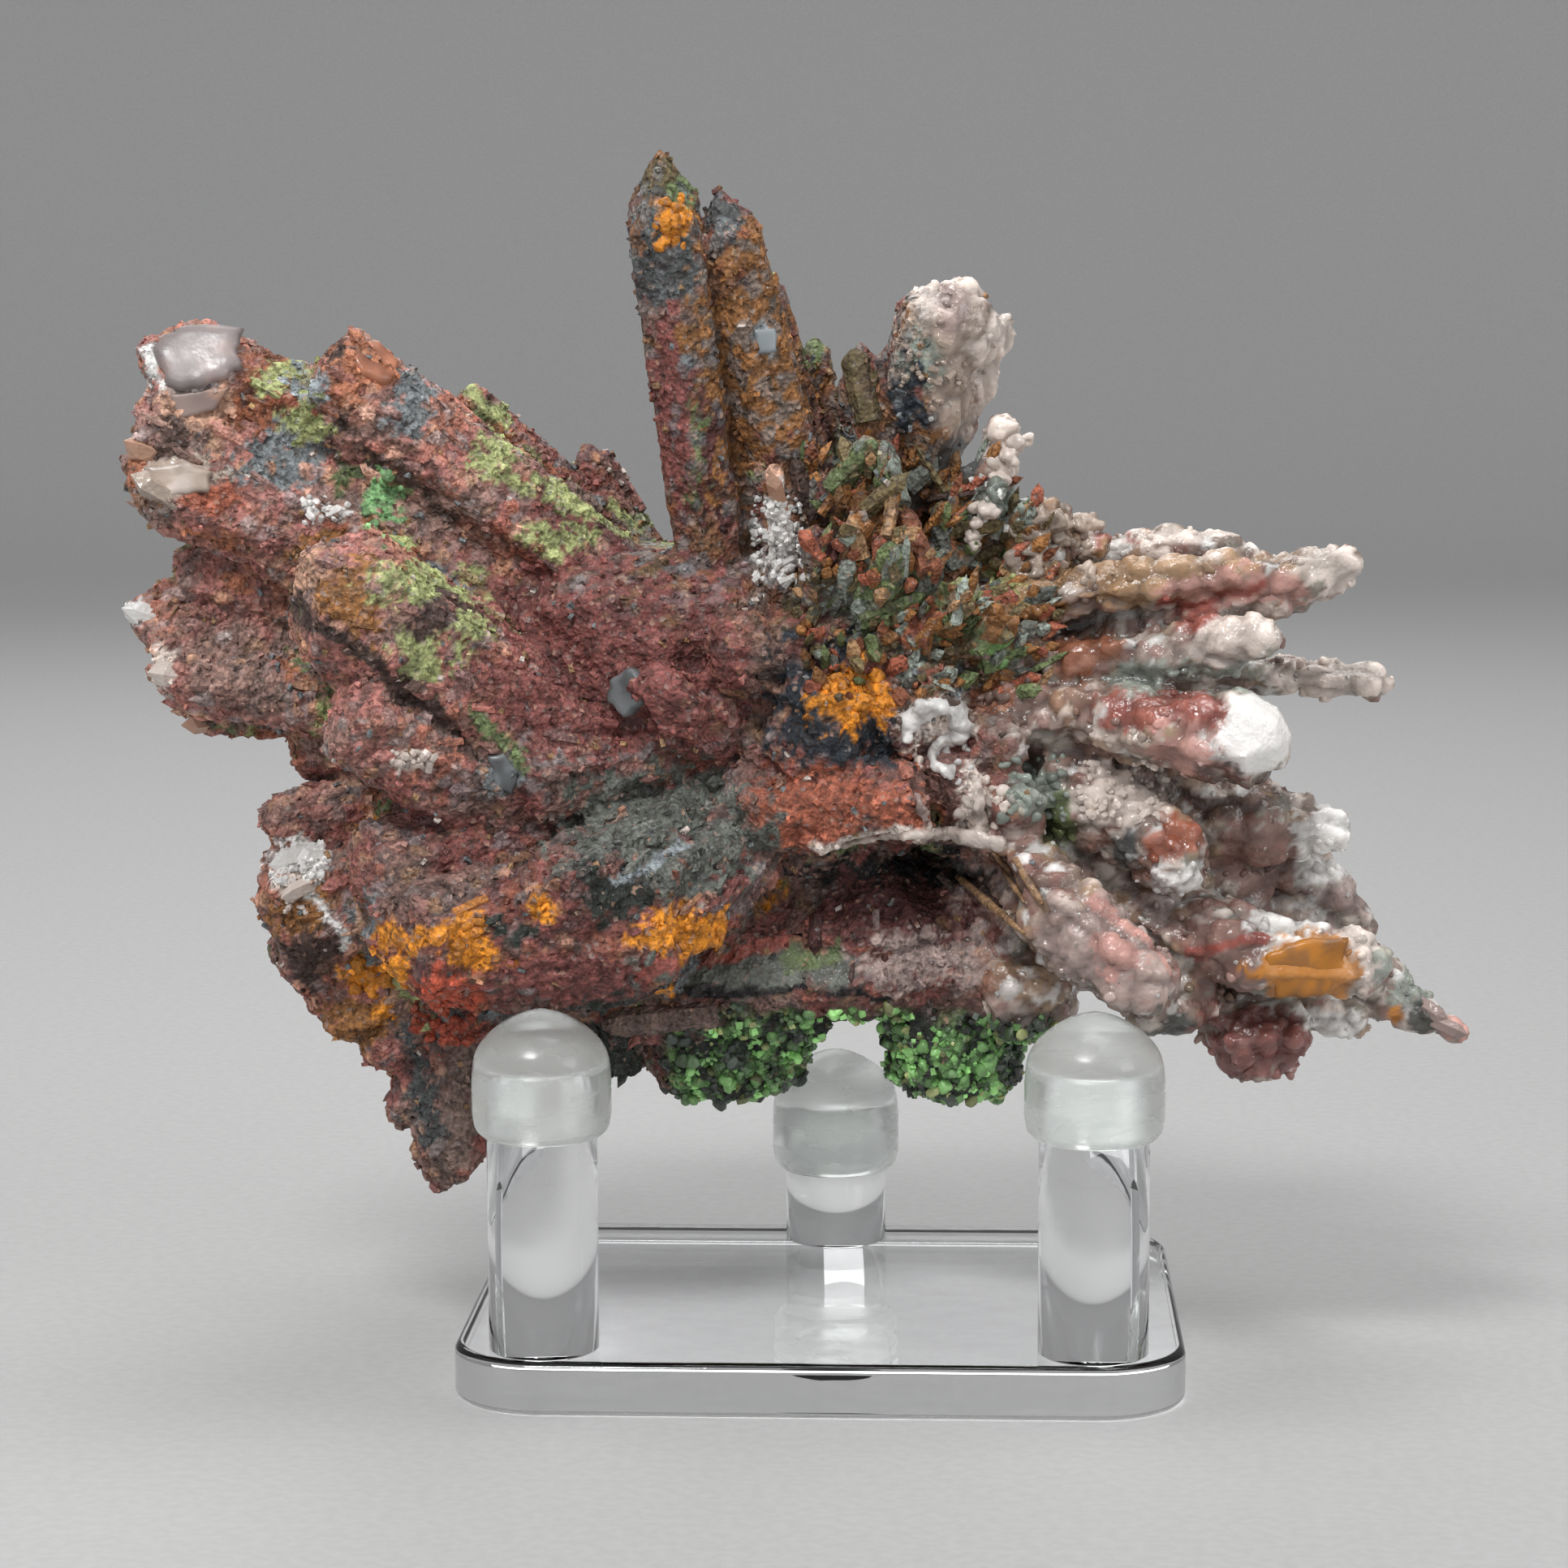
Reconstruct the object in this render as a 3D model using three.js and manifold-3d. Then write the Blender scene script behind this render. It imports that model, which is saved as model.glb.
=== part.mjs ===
// Quartz cluster on a clear stand with three pegs.
// Millimetres, +Z up, origin under the middle of the stand's plate, front towards -Y.
import * as THREE from 'three';
import { ConvexGeometry } from 'three/addons/geometries/ConvexGeometry.js';
import { mergeVertices } from 'three/addons/utils/BufferGeometryUtils.js';
import Module from 'manifold-3d';

const wasm = await Module();
wasm.setup();

// Driving dimensions of the stand.
const plateWidth = 63.5;
const plateDepth = 50.8;
const plateThickness = 4.76;
const plateCorner = 8;
const plateEdge = 0.9;
const rodRadius = 9.525 / 2;
const capRadius = 6;
const capRimInset = 0.8;
const capRimHeight = 1.4;
const capRoof = 5;
const socketGap = 0.3;
const capSides = 16;
const frontPegX = 23.65;
const frontPegY = -20.2;
const rearPegX = 0.25;
const rearPegY = 19.95;
const frontPegHeight = 34.55;
const rearPegHeight = 23.2;
const frontCapLength = 11;
const rearCapLength = 11.5;

// Dome of a cap, from its tip out to the full radius: distance out, and height.
const capDome = [[0, 0], [1.6, -0.4], [3.2, -1.2], [4.6, -2.3], [5.6, -3.7], [capRadius, -5.4]];

// The stone keeps this much clear of the caps that it rests on.
const restGap = 0.3;

// Share of a point's length that its alternate faces take, and how far its tip is off the middle.
const pointDrops = [0.8, 1.25];
const pointOffset = 0.15;

// Swellings along a finger and round it: how deep, and how many radians each millimetre.
const swellingDepth = 0.07;
const swellingRate = 1.3;
const ovalDepth = 0.08;
const ovalRate = 0.9;

// Ripples over a lump along X, Y and Z, and the power under 1 that makes it squarer than a ball.
const lumpRipples = [5.1, 4.3, 6.2];
const lumpSquareness = 0.8;

// Length of one straight stretch of a bent finger.
const fingerStep = 7;

const pegs = [
  { name: 'front_left', x: -frontPegX, y: frontPegY, height: frontPegHeight, capLength: frontCapLength },
  { name: 'front_right', x: frontPegX, y: frontPegY, height: frontPegHeight, capLength: frontCapLength },
  { name: 'rear', x: rearPegX, y: rearPegY, height: rearPegHeight, capLength: rearCapLength },
];

// Coated prisms: where each grows from, its tip, its half width there and at the shoulder,
// the length of its point, and the flat ridge that ends a blunt one.
const coatedPrisms = [
  // Fan on the left, from the top down.
  { at: [-27, 2, 73], tip: [-60.2, -7, 89.7], radius: 5.8, shoulder: 5.7, point: 5, ridge: 3.4, roll: 10 },
  { at: [-28, -2, 69], tip: [-60, -8, 84.8], radius: 5, shoulder: 4.4, point: 1.6, ridge: 3, roll: 20 },
  { at: [-26, -2, 66], tip: [-61.4, -10, 80.6], radius: 6, shoulder: 4.2, point: 4, roll: 25 },
  { at: [-29, -6, 65], tip: [-58.2, -9, 77.8], radius: 4.6, shoulder: 2.3, point: 2, roll: 5 },
  { at: [-29, -2, 62], tip: [-57.6, -5, 71.6], radius: 4.6, shoulder: 3.3, point: 1.6, ridge: 2, roll: 12 },
  { at: [-10.5, 2, 60.5], tip: [-44.2, -6, 88.8], radius: 6.6, shoulder: 5.2, point: 1, ridge: 5, roll: 35 },
  { at: [-15, 5, 68], tip: [-33.2, 3, 85.8], radius: 3.6, shoulder: 2.3, point: 1, ridge: 1, roll: 0 },
  { at: [-19, -7, 51], tip: [-44, -19, 72.5], radius: 7.2, shoulder: 6.6, point: 4.5, ridge: 3, roll: 28 },
  { at: [-22, -9, 47], tip: [-41, -20, 61], radius: 5.6, shoulder: 4.6, point: 2, ridge: 2, roll: 4 },
  { at: [-28, 0, 57.5], tip: [-62.6, -4, 66.9], radius: 6.6, shoulder: 4.8, point: 5, roll: 15 },
  { at: [-29, -3, 57.5], tip: [-59.4, -9, 62], radius: 4.8, shoulder: 3, point: 3, roll: 40 },
  { at: [-30, 2, 58.4], tip: [-57.5, -1, 57], radius: 3, shoulder: 1.6, point: 2, roll: 20 },
  { at: [-25, -2, 56], tip: [-48.2, -3, 55], radius: 5, shoulder: 3.4, point: 1.6, roll: 8 },
  { at: [-26, -2, 50], tip: [-50, -6, 48.2], radius: 6, shoulder: 2.7, point: 1.4, ridge: 2, roll: 0 },
  // Corner below the fan, and the spike that hangs beside the left peg.
  { at: [-26, -4, 45], tip: [-50, -7, 40.6], radius: 7.2, shoulder: 5.2, point: 1.6, ridge: 4, roll: 12 },
  { at: [-26, -3, 42], tip: [-49.6, -4, 35.4], radius: 6.4, shoulder: 4, point: 2, ridge: 2, roll: 30 },
  { at: [-25, -2, 40], tip: [-46.2, -3, 30.6], radius: 6.4, shoulder: 4, point: 2, ridge: 2, roll: 0 },
  { at: [-26, -3, 38], tip: [-41.4, -3, 26.2], radius: 5.6, shoulder: 3.4, point: 2, roll: 20 },
  { at: [-31, -3, 40], tip: [-38, -3, 19.6], radius: 4, shoulder: 2.6, point: 2, roll: 10 },
  { at: [-30, -4, 41], tip: [-34.4, -5, 14.6], radius: 5, shoulder: 3.5, point: 3.4, roll: 18 },
  { at: [-27, 0, 40], tip: [-29, 0, 17.5], radius: 4.5, shoulder: 3.6, point: 1.6, ridge: 3, roll: 5 },
  // Broken stubs behind the fan.
  { at: [-17, 8, 69], tip: [-22.7, 8, 81.2], radius: 3.4, shoulder: 2.4, point: 2, roll: 0 },
  { at: [-16, 9, 68], tip: [-20.4, 10, 79.2], radius: 2.2, shoulder: 1.6, point: 2, roll: 20 },
  // Tall pair on top.
  { at: [-8.5, -2, 60], tip: [-14.4, -8, 107.5], radius: 3.3, shoulder: 3.5, point: 5.6, roll: 28 },
  { at: [-3, 1, 60], tip: [-9.9, -2, 99.4], radius: 3.8, shoulder: 2.2, point: 3, roll: 10 },
  { at: [0.4, 0, 64], tip: [-9.5, -5, 104.4], radius: 4.4, shoulder: 3.3, point: 5, roll: 22 },
  { at: [0.6, 4, 66], tip: [-7.6, 2, 101.9], radius: 3, shoulder: 1.5, point: 2.5, roll: 0 },
  { at: [2, 2, 66], tip: [-5.5, 1, 96.9], radius: 3.2, shoulder: 1.7, point: 2, roll: 33 },
  { at: [1, 4, 72], tip: [-1.3, 4, 91.3], radius: 3, shoulder: 1.6, point: 1.6, roll: 10 },
  { at: [6.5, -2, 74], tip: [2.9, -4, 91], radius: 2.2, shoulder: 2, point: 3, roll: 5 },
  { at: [5, 2, 74], tip: [1.5, 2, 89], radius: 2, shoulder: 1.3, point: 3, roll: 25 },
  { at: [9, 2, 72], tip: [6.2, 3, 88.3], radius: 2.4, shoulder: 1.5, point: 3, roll: 15 },
  // Broken ends on the front, which run down to the left peg.
  { at: [-6, -2, 50], tip: [-40, -17, 44.6], radius: 6.6, shoulder: 5.4, point: 1.6, ridge: 5, roll: 14 },
  { at: [-8, -6, 45], tip: [-35.6, -21.4, 40], radius: 6, shoulder: 5.2, point: 1.4, ridge: 4, roll: 20 },
  { at: [-8, -2, 50], tip: [-24, -22.6, 42.6], radius: 6.4, shoulder: 5, point: 2.4, ridge: 4, roll: 4 },
  { at: [-4, -2, 49], tip: [-14.6, -19.4, 42], radius: 6, shoulder: 4.6, point: 2, ridge: 3, roll: 24 },
  { at: [-10, -4, 56], tip: [-27, -16.6, 53.6], radius: 5.4, shoulder: 4.2, point: 2, ridge: 3, roll: 12 },
  { at: [-2, 0, 56], tip: [-16, -15.4, 60.4], radius: 5.6, shoulder: 4.2, point: 2.6, ridge: 2, roll: 16 },
  { at: [-2, 0, 58], tip: [-8.4, -15, 66], radius: 5, shoulder: 3.8, point: 2.4, ridge: 2, roll: 33 },
  { at: [2, 0, 57], tip: [-1.4, -15.6, 58.6], radius: 6, shoulder: 4.6, point: 2, ridge: 3, roll: 9 },
  { at: [6, 0, 57], tip: [9, -13.6, 60.4], radius: 5.6, shoulder: 4.4, point: 2, ridge: 2, roll: 27 },
  // Block over the arch.
  { at: [-13, -8, 50], tip: [9.4, -14, 51.2], radius: 4.4, shoulder: 4, point: 0.8, ridge: 4, roll: 3 },
  // Long bars under the middle.
  { at: [-25, -6, 34.3], tip: [18.5, -8, 35.2], radius: 3.6, shoulder: 3.6, point: 1.5, ridge: 3, roll: 30 },
  { at: [0, -6, 31.5], tip: [-19.6, -8, 30.6], radius: 2, shoulder: 1.8, point: 1, ridge: 2, roll: 0 },
  // Back of the cluster.
  { at: [-14, 4, 60], tip: [-40, 22, 73], radius: 6.5, shoulder: 5, point: 5, roll: 8 },
  { at: [-12, 4, 60], tip: [-22, 25, 69], radius: 5.2, shoulder: 4.2, point: 4, roll: 22 },
  { at: [-6, 4, 62], tip: [-9, 19, 84], radius: 4.8, shoulder: 3.6, point: 5, roll: 14 },
  { at: [2, 4, 60], tip: [7, 22, 77], radius: 5, shoulder: 3.6, point: 4, roll: 27 },
  { at: [-20, 4, 54], tip: [-49, 17, 60], radius: 6.6, shoulder: 5, point: 4, roll: 18 },
  { at: [-14, 4, 56], tip: [-25, 29, 58], radius: 6, shoulder: 4.6, point: 4, roll: 5 },
  { at: [-2, 4, 56], tip: [2, 30, 63], radius: 5.6, shoulder: 4.2, point: 5, roll: 33 },
  { at: [8, 4, 54], tip: [22, 22, 64], radius: 5, shoulder: 3.6, point: 4, roll: 11 },
  { at: [-24, 2, 46], tip: [-41, 19, 42], radius: 6, shoulder: 4.6, point: 3, ridge: 3, roll: 26 },
  { at: [-12, 4, 50], tip: [-20, 27, 44], radius: 5.8, shoulder: 4.4, point: 3, ridge: 2, roll: 3 },
  { at: [2, 4, 48], tip: [7, 27, 45], radius: 5.5, shoulder: 4.2, point: 4, roll: 19 },
  // Heel that rests on the rear peg.
  { at: [-8, 10, 42], tip: [-7.2, 16.6, 20.6], radius: 6, shoulder: 5.2, point: 1.6, ridge: 4, roll: 10 },
];

// Thin blades and needles on the front and in the saddle on top: at, tip, half width at each end.
const blades = [
  { at: [0, -7, 77], tip: [5, -10, 82.6], radius: 1.5, shoulder: 1.4, point: 1, roll: 10 },
  { at: [7.2, -6, 72], tip: [5.7, -11, 82], radius: 2, shoulder: 1.7, point: 1.6, roll: 20 },
  { at: [9.6, -4, 68], tip: [11, -9, 78.5], radius: 1.8, shoulder: 1.3, point: 2, roll: 30 },
  { at: [9, 0, 70], tip: [13, -4, 80.6], radius: 1.7, shoulder: 1.2, point: 1.5, roll: 8 },
  { at: [-3.4, -6, 68], tip: [-4, -11, 80.5], radius: 1.6, shoulder: 1, point: 1, roll: 5 },
  { at: [0, -6, 62], tip: [-0.6, -11.6, 75.4], radius: 2.2, shoulder: 1.7, point: 1.4, ridge: 1, roll: 15 },
  { at: [1, -6, 62], tip: [3.4, -13, 77], radius: 2, shoulder: 1.4, point: 2, roll: 0 },
  { at: [2, -6, 62], tip: [7, -13.6, 74.6], radius: 2.4, shoulder: 1.8, point: 1.2, ridge: 1.4, roll: 22 },
  { at: [3, -6, 62], tip: [10.8, -13.4, 73.4], radius: 2, shoulder: 1.4, point: 2, roll: 40 },
  { at: [4, -6, 61], tip: [13.4, -13, 70.4], radius: 2.4, shoulder: 1.9, point: 1.4, ridge: 1, roll: 12 },
  { at: [5, -6, 60], tip: [17, -12.4, 67.4], radius: 2.2, shoulder: 1.6, point: 2, roll: 30 },
  { at: [11.5, -12, 47], tip: [19.5, -17, 39], radius: 1.3, shoulder: 1.1, point: 2, roll: 2 },
];

// Chalcedony fingers: the middle line from root to end, and the half width along it.
const fingers = [
  // White lumps on top.
  { path: [[9.5, 0, 76], [8.7, -2, 84.4], [10.4, -4, 90.6], [12.6, -5, 96.2]],
    radii: [2.4, 4.4, 4.9, 3.7], sides: 7 },
  { path: [[10, 1, 79], [13.2, 0, 86], [16.2, -1, 93.6]], radii: [1.2, 1.8, 1.7] },
  { path: [[14, -1, 70], [15, -3, 79], [16, -4, 84.6]], radii: [2, 2.5, 2.1], sides: 7 },
  { path: [[11, -5, 70], [13.4, -6, 74], [15.8, -6, 78.8]], radii: [1.2, 1, 0.9], sides: 5 },
  // Fan on the right, from the top down.
  { path: [[17, 4, 68.6], [28, 4, 71.8], [33.5, 4, 71.5], [39, 4, 70.8]],
    radii: [3.4, 2.2, 2.4, 1.9], sides: 7 },
  { path: [[10, -4, 65], [20.5, -6, 69], [28.5, -8, 70], [37.5, -9, 71.2]],
    radii: [4.2, 2.7, 2.5, 1.9], sides: 7 },
  { path: [[22, -4, 64.5], [31.5, -6, 67], [38.5, -8, 69.3], [43.4, -9, 71.4], [47, -10, 71.5]],
    radii: [2.8, 2.3, 2.6, 3.3, 1.7], sides: 7 },
  { path: [[20, -7, 62.5], [32, -11, 64.3], [36, -13, 65.6], [40, -14, 66.3]],
    radii: [2.6, 2.4, 2.5, 2], sides: 7 },
  { path: [[18, 2, 61], [30, 2, 62], [38, 1, 60.4], [42, 1, 61.2], [45.5, 0, 60.3], [50.6, 0, 60.6]],
    radii: [2.6, 1.7, 1.7, 2.1, 1.7, 1.8] },
  { path: [[16, -6, 58], [24, -10, 58.6], [30.5, -13, 57.7], [36, -15, 57.2], [40.4, -16, 57.6]],
    radii: [4.4, 3.2, 4, 4.8, 3.5], sides: 7 },
  { path: [[26, -2, 50], [37, -5, 48.8], [43, -6, 48], [46.8, -6, 48.8]],
    radii: [5.4, 4.8, 3.8, 1.7], sides: 7 },
  { path: [[36, -1, 47.5], [44, -2, 42.5], [49, -2, 38.4]], radii: [4.8, 3, 1.2] },
  { path: [[20, -7, 52.5], [28.5, -12, 48.4], [32.6, -13, 44]], radii: [4.2, 3.8, 3.2], sides: 7 },
  { path: [[12.5, -7, 49], [19, -13, 43.8], [24.3, -18.6, 39], [30.6, -20, 35.5]],
    radii: [4.6, 4, 4.45, 3.4], sides: 7 },
  { path: [[20, -5, 46], [30.5, -8, 40.4], [38.5, -10, 37.6], [45, -11, 37.2], [49.6, -11, 36.8]],
    radii: [4.8, 3.4, 3.8, 3.8, 2.4], sides: 7 },
  { path: [[36, 0, 42], [48, 0, 34.4], [53.4, -1, 30.8], [57.4, -2, 28.8]],
    radii: [4.8, 3.8, 2.7, 0.9], sides: 7 },
  { path: [[38, -1, 34], [48.4, -3, 29.8]], radii: [2.4, 1.7] },
  // Lumps at the root of the fingers, beside the arch.
  { path: [[7, -4, 55], [13.6, -14, 51.8]], radii: [3.4, 2.7], sides: 7 },
  { path: [[12, -4, 54], [18.4, -14.4, 50.2]], radii: [3.6, 3], sides: 7 },
  { path: [[10, -4, 58], [17.6, -13, 55.6]], radii: [3.4, 2.6], sides: 7 },
  // Back of the fan.
  { path: [[12, 4, 60], [24, 14, 63], [35, 19, 63]], radii: [4.6, 3.2, 2.4] },
  { path: [[14, 4, 56], [28, 13, 56], [40, 16, 56]], radii: [4.8, 3.4, 2.6] },
  { path: [[14, 4, 52], [26, 18, 50], [34, 26, 50]], radii: [4.6, 3.2, 2.2] },
  { path: [[18, 2, 48], [32, 12, 46], [42, 14, 44]], radii: [5.4, 3.8, 2.6] },
  { path: [[14, 2, 44], [26, 14, 38], [33, 19, 34]], radii: [5, 3.6, 2.6] },
];

// Massive parts: middle, half sizes, how rough, and how finely faceted.
const masses = [
  { at: [-15, 1, 60], size: [16, 13.4, 14], rough: 0.08, detail: 1 },
  { at: [2, 1, 58], size: [15, 14.4, 13], rough: 0.08, detail: 1 },
  { at: [-31, 0, 46], size: [14, 10.5, 9], rough: 0.1, detail: 1 },
  { at: [14, 0, 58.5], size: [12, 10, 12], rough: 0.08, detail: 1 },
  { at: [24, -1, 49], size: [11, 9, 9], rough: 0.1, detail: 1 },
  { at: [-4, -3, 50], size: [13, 8, 7], rough: 0.12, detail: 1 },
  { at: [4, 2, 39], size: [27, 11.5, 6.5], rough: 0.06, detail: 1 },
  { at: [5, -3, 66], size: [8, 6.4, 7], rough: 0.12, detail: 1 },
  { at: [31, -1, 40.5], size: [10, 7, 8], rough: 0.1, detail: 1 },
  // Rests on the left peg.
  { at: [-24.6, -15.6, 40.2], size: [14, 7.6, 6.8], rough: 0.06, detail: 1 },
  // Green crusts that hang below.
  { at: [-20, -1, 29.5], size: [4.6, 6, 4.6], rough: 0.12, detail: 1 },
  { at: [-9.3, 1, 28.8], size: [7.8, 8, 5.6], rough: 0.14, detail: 1 },
  { at: [12, -2, 29.3], size: [6.2, 8, 5.5], rough: 0.14, detail: 1 },
  { at: [18, -7, 34.6], size: [5, 6.5, 4.4], rough: 0.1, detail: 1 },
  // Lumps at the foot of the fingers.
  { at: [38.6, -4, 30], size: [4.7, 5, 3.9], rough: 0.2, detail: 1 },
  { at: [31, -7, 33.6], size: [4.4, 5, 3.8], rough: 0.08, detail: 1 },
  { at: [19, -3, 73.6], size: [3.2, 3.4, 4], rough: 0.12, detail: 1 },
  { at: [22.6, -1, 72.6], size: [2.8, 3, 2.8], rough: 0.12, detail: 1 },
];

// Arched hollow in the front, and the pits beside it.
const hollows = [
  { at: [8, -16, 44.4], size: [9.6, 9, 4.2], rough: 0, detail: 2 },
  { at: [4.5, -14, 62.5], size: [6, 2.6, 1.1], rough: 0, detail: 1 },
  { at: [8.5, -9, 80], size: [3, 4, 4], rough: 0, detail: 1 },
];

function vector(list) {
  return new THREE.Vector3(...list);
}

function solidFrom(geometry) {
  const bare = geometry.clone();
  bare.deleteAttribute('normal');
  bare.deleteAttribute('uv');
  const merged = mergeVertices(bare, 1e-4);
  const corners = merged.index.array;
  const triangles = [];
  for (let i = 0; i < corners.length; i += 3) {
    const [a, b, c] = [corners[i], corners[i + 1], corners[i + 2]];
    if (a !== b && b !== c && c !== a) {
      triangles.push(a, b, c);
    }
  }
  return new wasm.Manifold(new wasm.Mesh({
    numProp: 3,
    vertProperties: new Float32Array(merged.attributes.position.array),
    triVerts: new Uint32Array(triangles),
  }));
}

function geometryFrom(solid) {
  const mesh = solid.getMesh();
  const geometry = new THREE.BufferGeometry();
  geometry.setAttribute('position', new THREE.BufferAttribute(mesh.vertProperties, 3));
  geometry.setIndex(new THREE.BufferAttribute(mesh.triVerts, 1));
  geometry.computeVertexNormals();
  return geometry;
}

// Six-sided prism with a point whose faces start at two heights, as quartz has.
function crystal({ at, tip, radius, shoulder, point, ridge = 0, roll = 0 }) {
  const root = vector(at);
  const axis = vector(tip).sub(root);
  const length = axis.length();
  const points = [];
  for (let side = 0; side < 6; side += 1) {
    const angle = (side * Math.PI) / 3;
    const drop = pointDrops[side % 2];
    const across = new THREE.Vector3(Math.cos(angle), Math.sin(angle), 0);
    points.push(across.clone().multiplyScalar(radius));
    points.push(across.clone().multiplyScalar(shoulder).setZ(length - point * drop));
  }
  const offset = shoulder * pointOffset;
  points.push(new THREE.Vector3(offset, ridge / 2, length));
  points.push(new THREE.Vector3(offset, -ridge / 2 - 0.01, length));
  const geometry = new ConvexGeometry(points);
  geometry.rotateZ(THREE.MathUtils.degToRad(roll));
  const lean = new THREE.Quaternion().setFromUnitVectors(new THREE.Vector3(0, 0, 1), axis.normalize());
  geometry.applyQuaternion(lean);
  geometry.translate(...root.toArray());
  return solidFrom(geometry);
}

// Places along a finger, as shares of its length: even steps, then a closer one that rounds its end.
function fingerStations(length, endWidth) {
  const straight = length - endWidth;
  const steps = Math.max(2, Math.round(straight / fingerStep));
  const even = Array.from({ length: steps + 1 }, (_, step) => (straight * step) / steps);
  return [...even, length - 0.3 * endWidth].map((reach) => reach / length);
}

// Round-ended stalactite: a turned profile bent along its middle line, with gentle swellings.
function finger({ path, radii, sides = 6 }) {
  const line = new THREE.CatmullRomCurve3(path.map(vector));
  const widths = new THREE.SplineCurve(radii.map((radius, index) => new THREE.Vector2(index, radius)));
  const length = line.getLength();
  const endWidth = radii[radii.length - 1];
  const rings = fingerStations(length, endWidth);
  const profile = rings.map((station, ring) => {
    const left = Math.min(1, ((1 - station) * length) / endWidth);
    const swelling = 1 + swellingDepth * Math.sin(station * length * swellingRate + path[0][0]);
    return new THREE.Vector2(widths.getPoint(station).y * Math.sqrt(left * (2 - left)) * swelling, ring + 1);
  });
  const stations = [0, ...rings, 1];
  const ends = [new THREE.Vector2(0, 0), new THREE.Vector2(0, rings.length + 1)];
  const geometry = new THREE.LatheGeometry([ends[0], ...profile, ends[1]], sides);
  const start = line.getTangentAt(0);
  const acrossStart = new THREE.Vector3(0, 0, 1).cross(start).normalize();
  const place = geometry.attributes.position;
  for (let i = 0; i < place.count; i += 1) {
    const station = stations[Math.round(place.getY(i))];
    const middle = line.getPointAt(station);
    const ahead = line.getTangentAt(station);
    const across = acrossStart.clone().addScaledVector(ahead, -acrossStart.dot(ahead)).normalize();
    const over = ahead.clone().cross(across);
    const angle = Math.atan2(place.getZ(i), place.getX(i));
    const lumpy = 1 + ovalDepth * Math.sin(2 * angle + station * length * ovalRate + path[0][1]);
    middle.addScaledVector(across, -place.getX(i) * lumpy);
    middle.addScaledVector(over, place.getZ(i) * lumpy);
    place.setXYZ(i, middle.x, middle.y, middle.z);
  }
  return solidFrom(geometry);
}

// Moves a share of a half size outwards, so that a lump is a little squarer than a ball.
function squarer(share) {
  return Math.sign(share) * Math.abs(share) ** lumpSquareness;
}

// Faceted lump with low swellings.
function mass({ at, size, rough, detail }) {
  const geometry = new THREE.IcosahedronGeometry(1, detail);
  const place = geometry.attributes.position;
  const phase = at[0] * 0.7 + at[2];
  for (let i = 0; i < place.count; i += 1) {
    const p = new THREE.Vector3().fromBufferAttribute(place, i);
    const [x, y, z] = p.toArray().map((share, axis) => share * lumpRipples[axis]);
    const wave = Math.sin(x + phase) * Math.cos(y - phase) + Math.sin(z + 2 * phase);
    p.multiplyScalar(1 + rough * wave);
    p.set(squarer(p.x), squarer(p.y), squarer(p.z));
    place.setXYZ(i, at[0] + p.x * size[0], at[1] + p.y * size[1], at[2] + p.z * size[2]);
  }
  return solidFrom(geometry);
}

function joined(solids) {
  return solids.reduce((whole, next) => whole.add(next));
}

// The outer skin alone, so that pockets sealed between the crystals are solid.
function outerSkin(solid) {
  return solid.decompose().reduce((largest, piece) => (piece.volume() > largest.volume() ? piece : largest));
}

// Outline of a cap's outside from the tip of its dome to its rim, grown by a margin.
function capOutline(capLength, margin) {
  const outline = [...capDome, [capRadius, capRimHeight - capLength], [capRadius - capRimInset, -capLength]];
  return outline.map(([out, up], index) => {
    const share = Math.min(1, index / (capDome.length - 1));
    return new THREE.Vector2(out + margin * share, up + margin * (1 - share));
  });
}

// Soft sleeve with a domed top; its socket is open below and its roof stands on the rod.
function capGeometry(capLength) {
  const socket = rodRadius + socketGap;
  const profile = [
    new THREE.Vector2(0, -capRoof),
    new THREE.Vector2(socket, -capRoof),
    new THREE.Vector2(socket, -capLength),
    ...capOutline(capLength, 0).reverse(),
  ];
  return new THREE.LatheGeometry(profile, capSides);
}

function rodGeometry(height) {
  const length = height - capRoof - plateThickness;
  const geometry = new THREE.CylinderGeometry(rodRadius, rodRadius, length, capSides);
  geometry.rotateX(Math.PI / 2);
  geometry.translate(0, 0, plateThickness + length / 2);
  return geometry;
}

function plateGeometry() {
  const x = plateWidth / 2 - plateEdge;
  const y = plateDepth / 2 - plateEdge;
  const corner = plateCorner - plateEdge;
  const outline = new THREE.Shape();
  outline.absarc(x - corner, y - corner, corner, 0, Math.PI / 2);
  outline.absarc(-x + corner, y - corner, corner, Math.PI / 2, Math.PI);
  outline.absarc(-x + corner, -y + corner, corner, Math.PI, Math.PI * 1.5);
  outline.absarc(x - corner, -y + corner, corner, Math.PI * 1.5, Math.PI * 2);
  const geometry = new THREE.ExtrudeGeometry(outline, {
    depth: plateThickness - 2 * plateEdge,
    bevelThickness: plateEdge,
    bevelSize: plateEdge,
    bevelSegments: 3,
    curveSegments: 4,
  });
  geometry.translate(0, 0, plateEdge);
  return geometry;
}

// Room that each cap takes out of the stone above it.
function capRoom({ x, y, height, capLength }) {
  const outline = [...capOutline(capLength, restGap), new THREE.Vector2(0, -capLength - restGap)];
  const geometry = new THREE.LatheGeometry(outline.reverse(), capSides);
  geometry.rotateX(Math.PI / 2);
  geometry.translate(x, y, height);
  return solidFrom(geometry);
}

function clusterGeometry() {
  const growth = [
    ...masses.map(mass),
    ...coatedPrisms.map(crystal),
    ...blades.map(crystal),
    ...fingers.map(finger),
  ];
  const cuts = [...hollows.map(mass), ...pegs.map(capRoom)];
  return geometryFrom(outerSkin(cuts.reduce((whole, cut) => whole.subtract(cut), joined(growth))));
}

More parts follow.
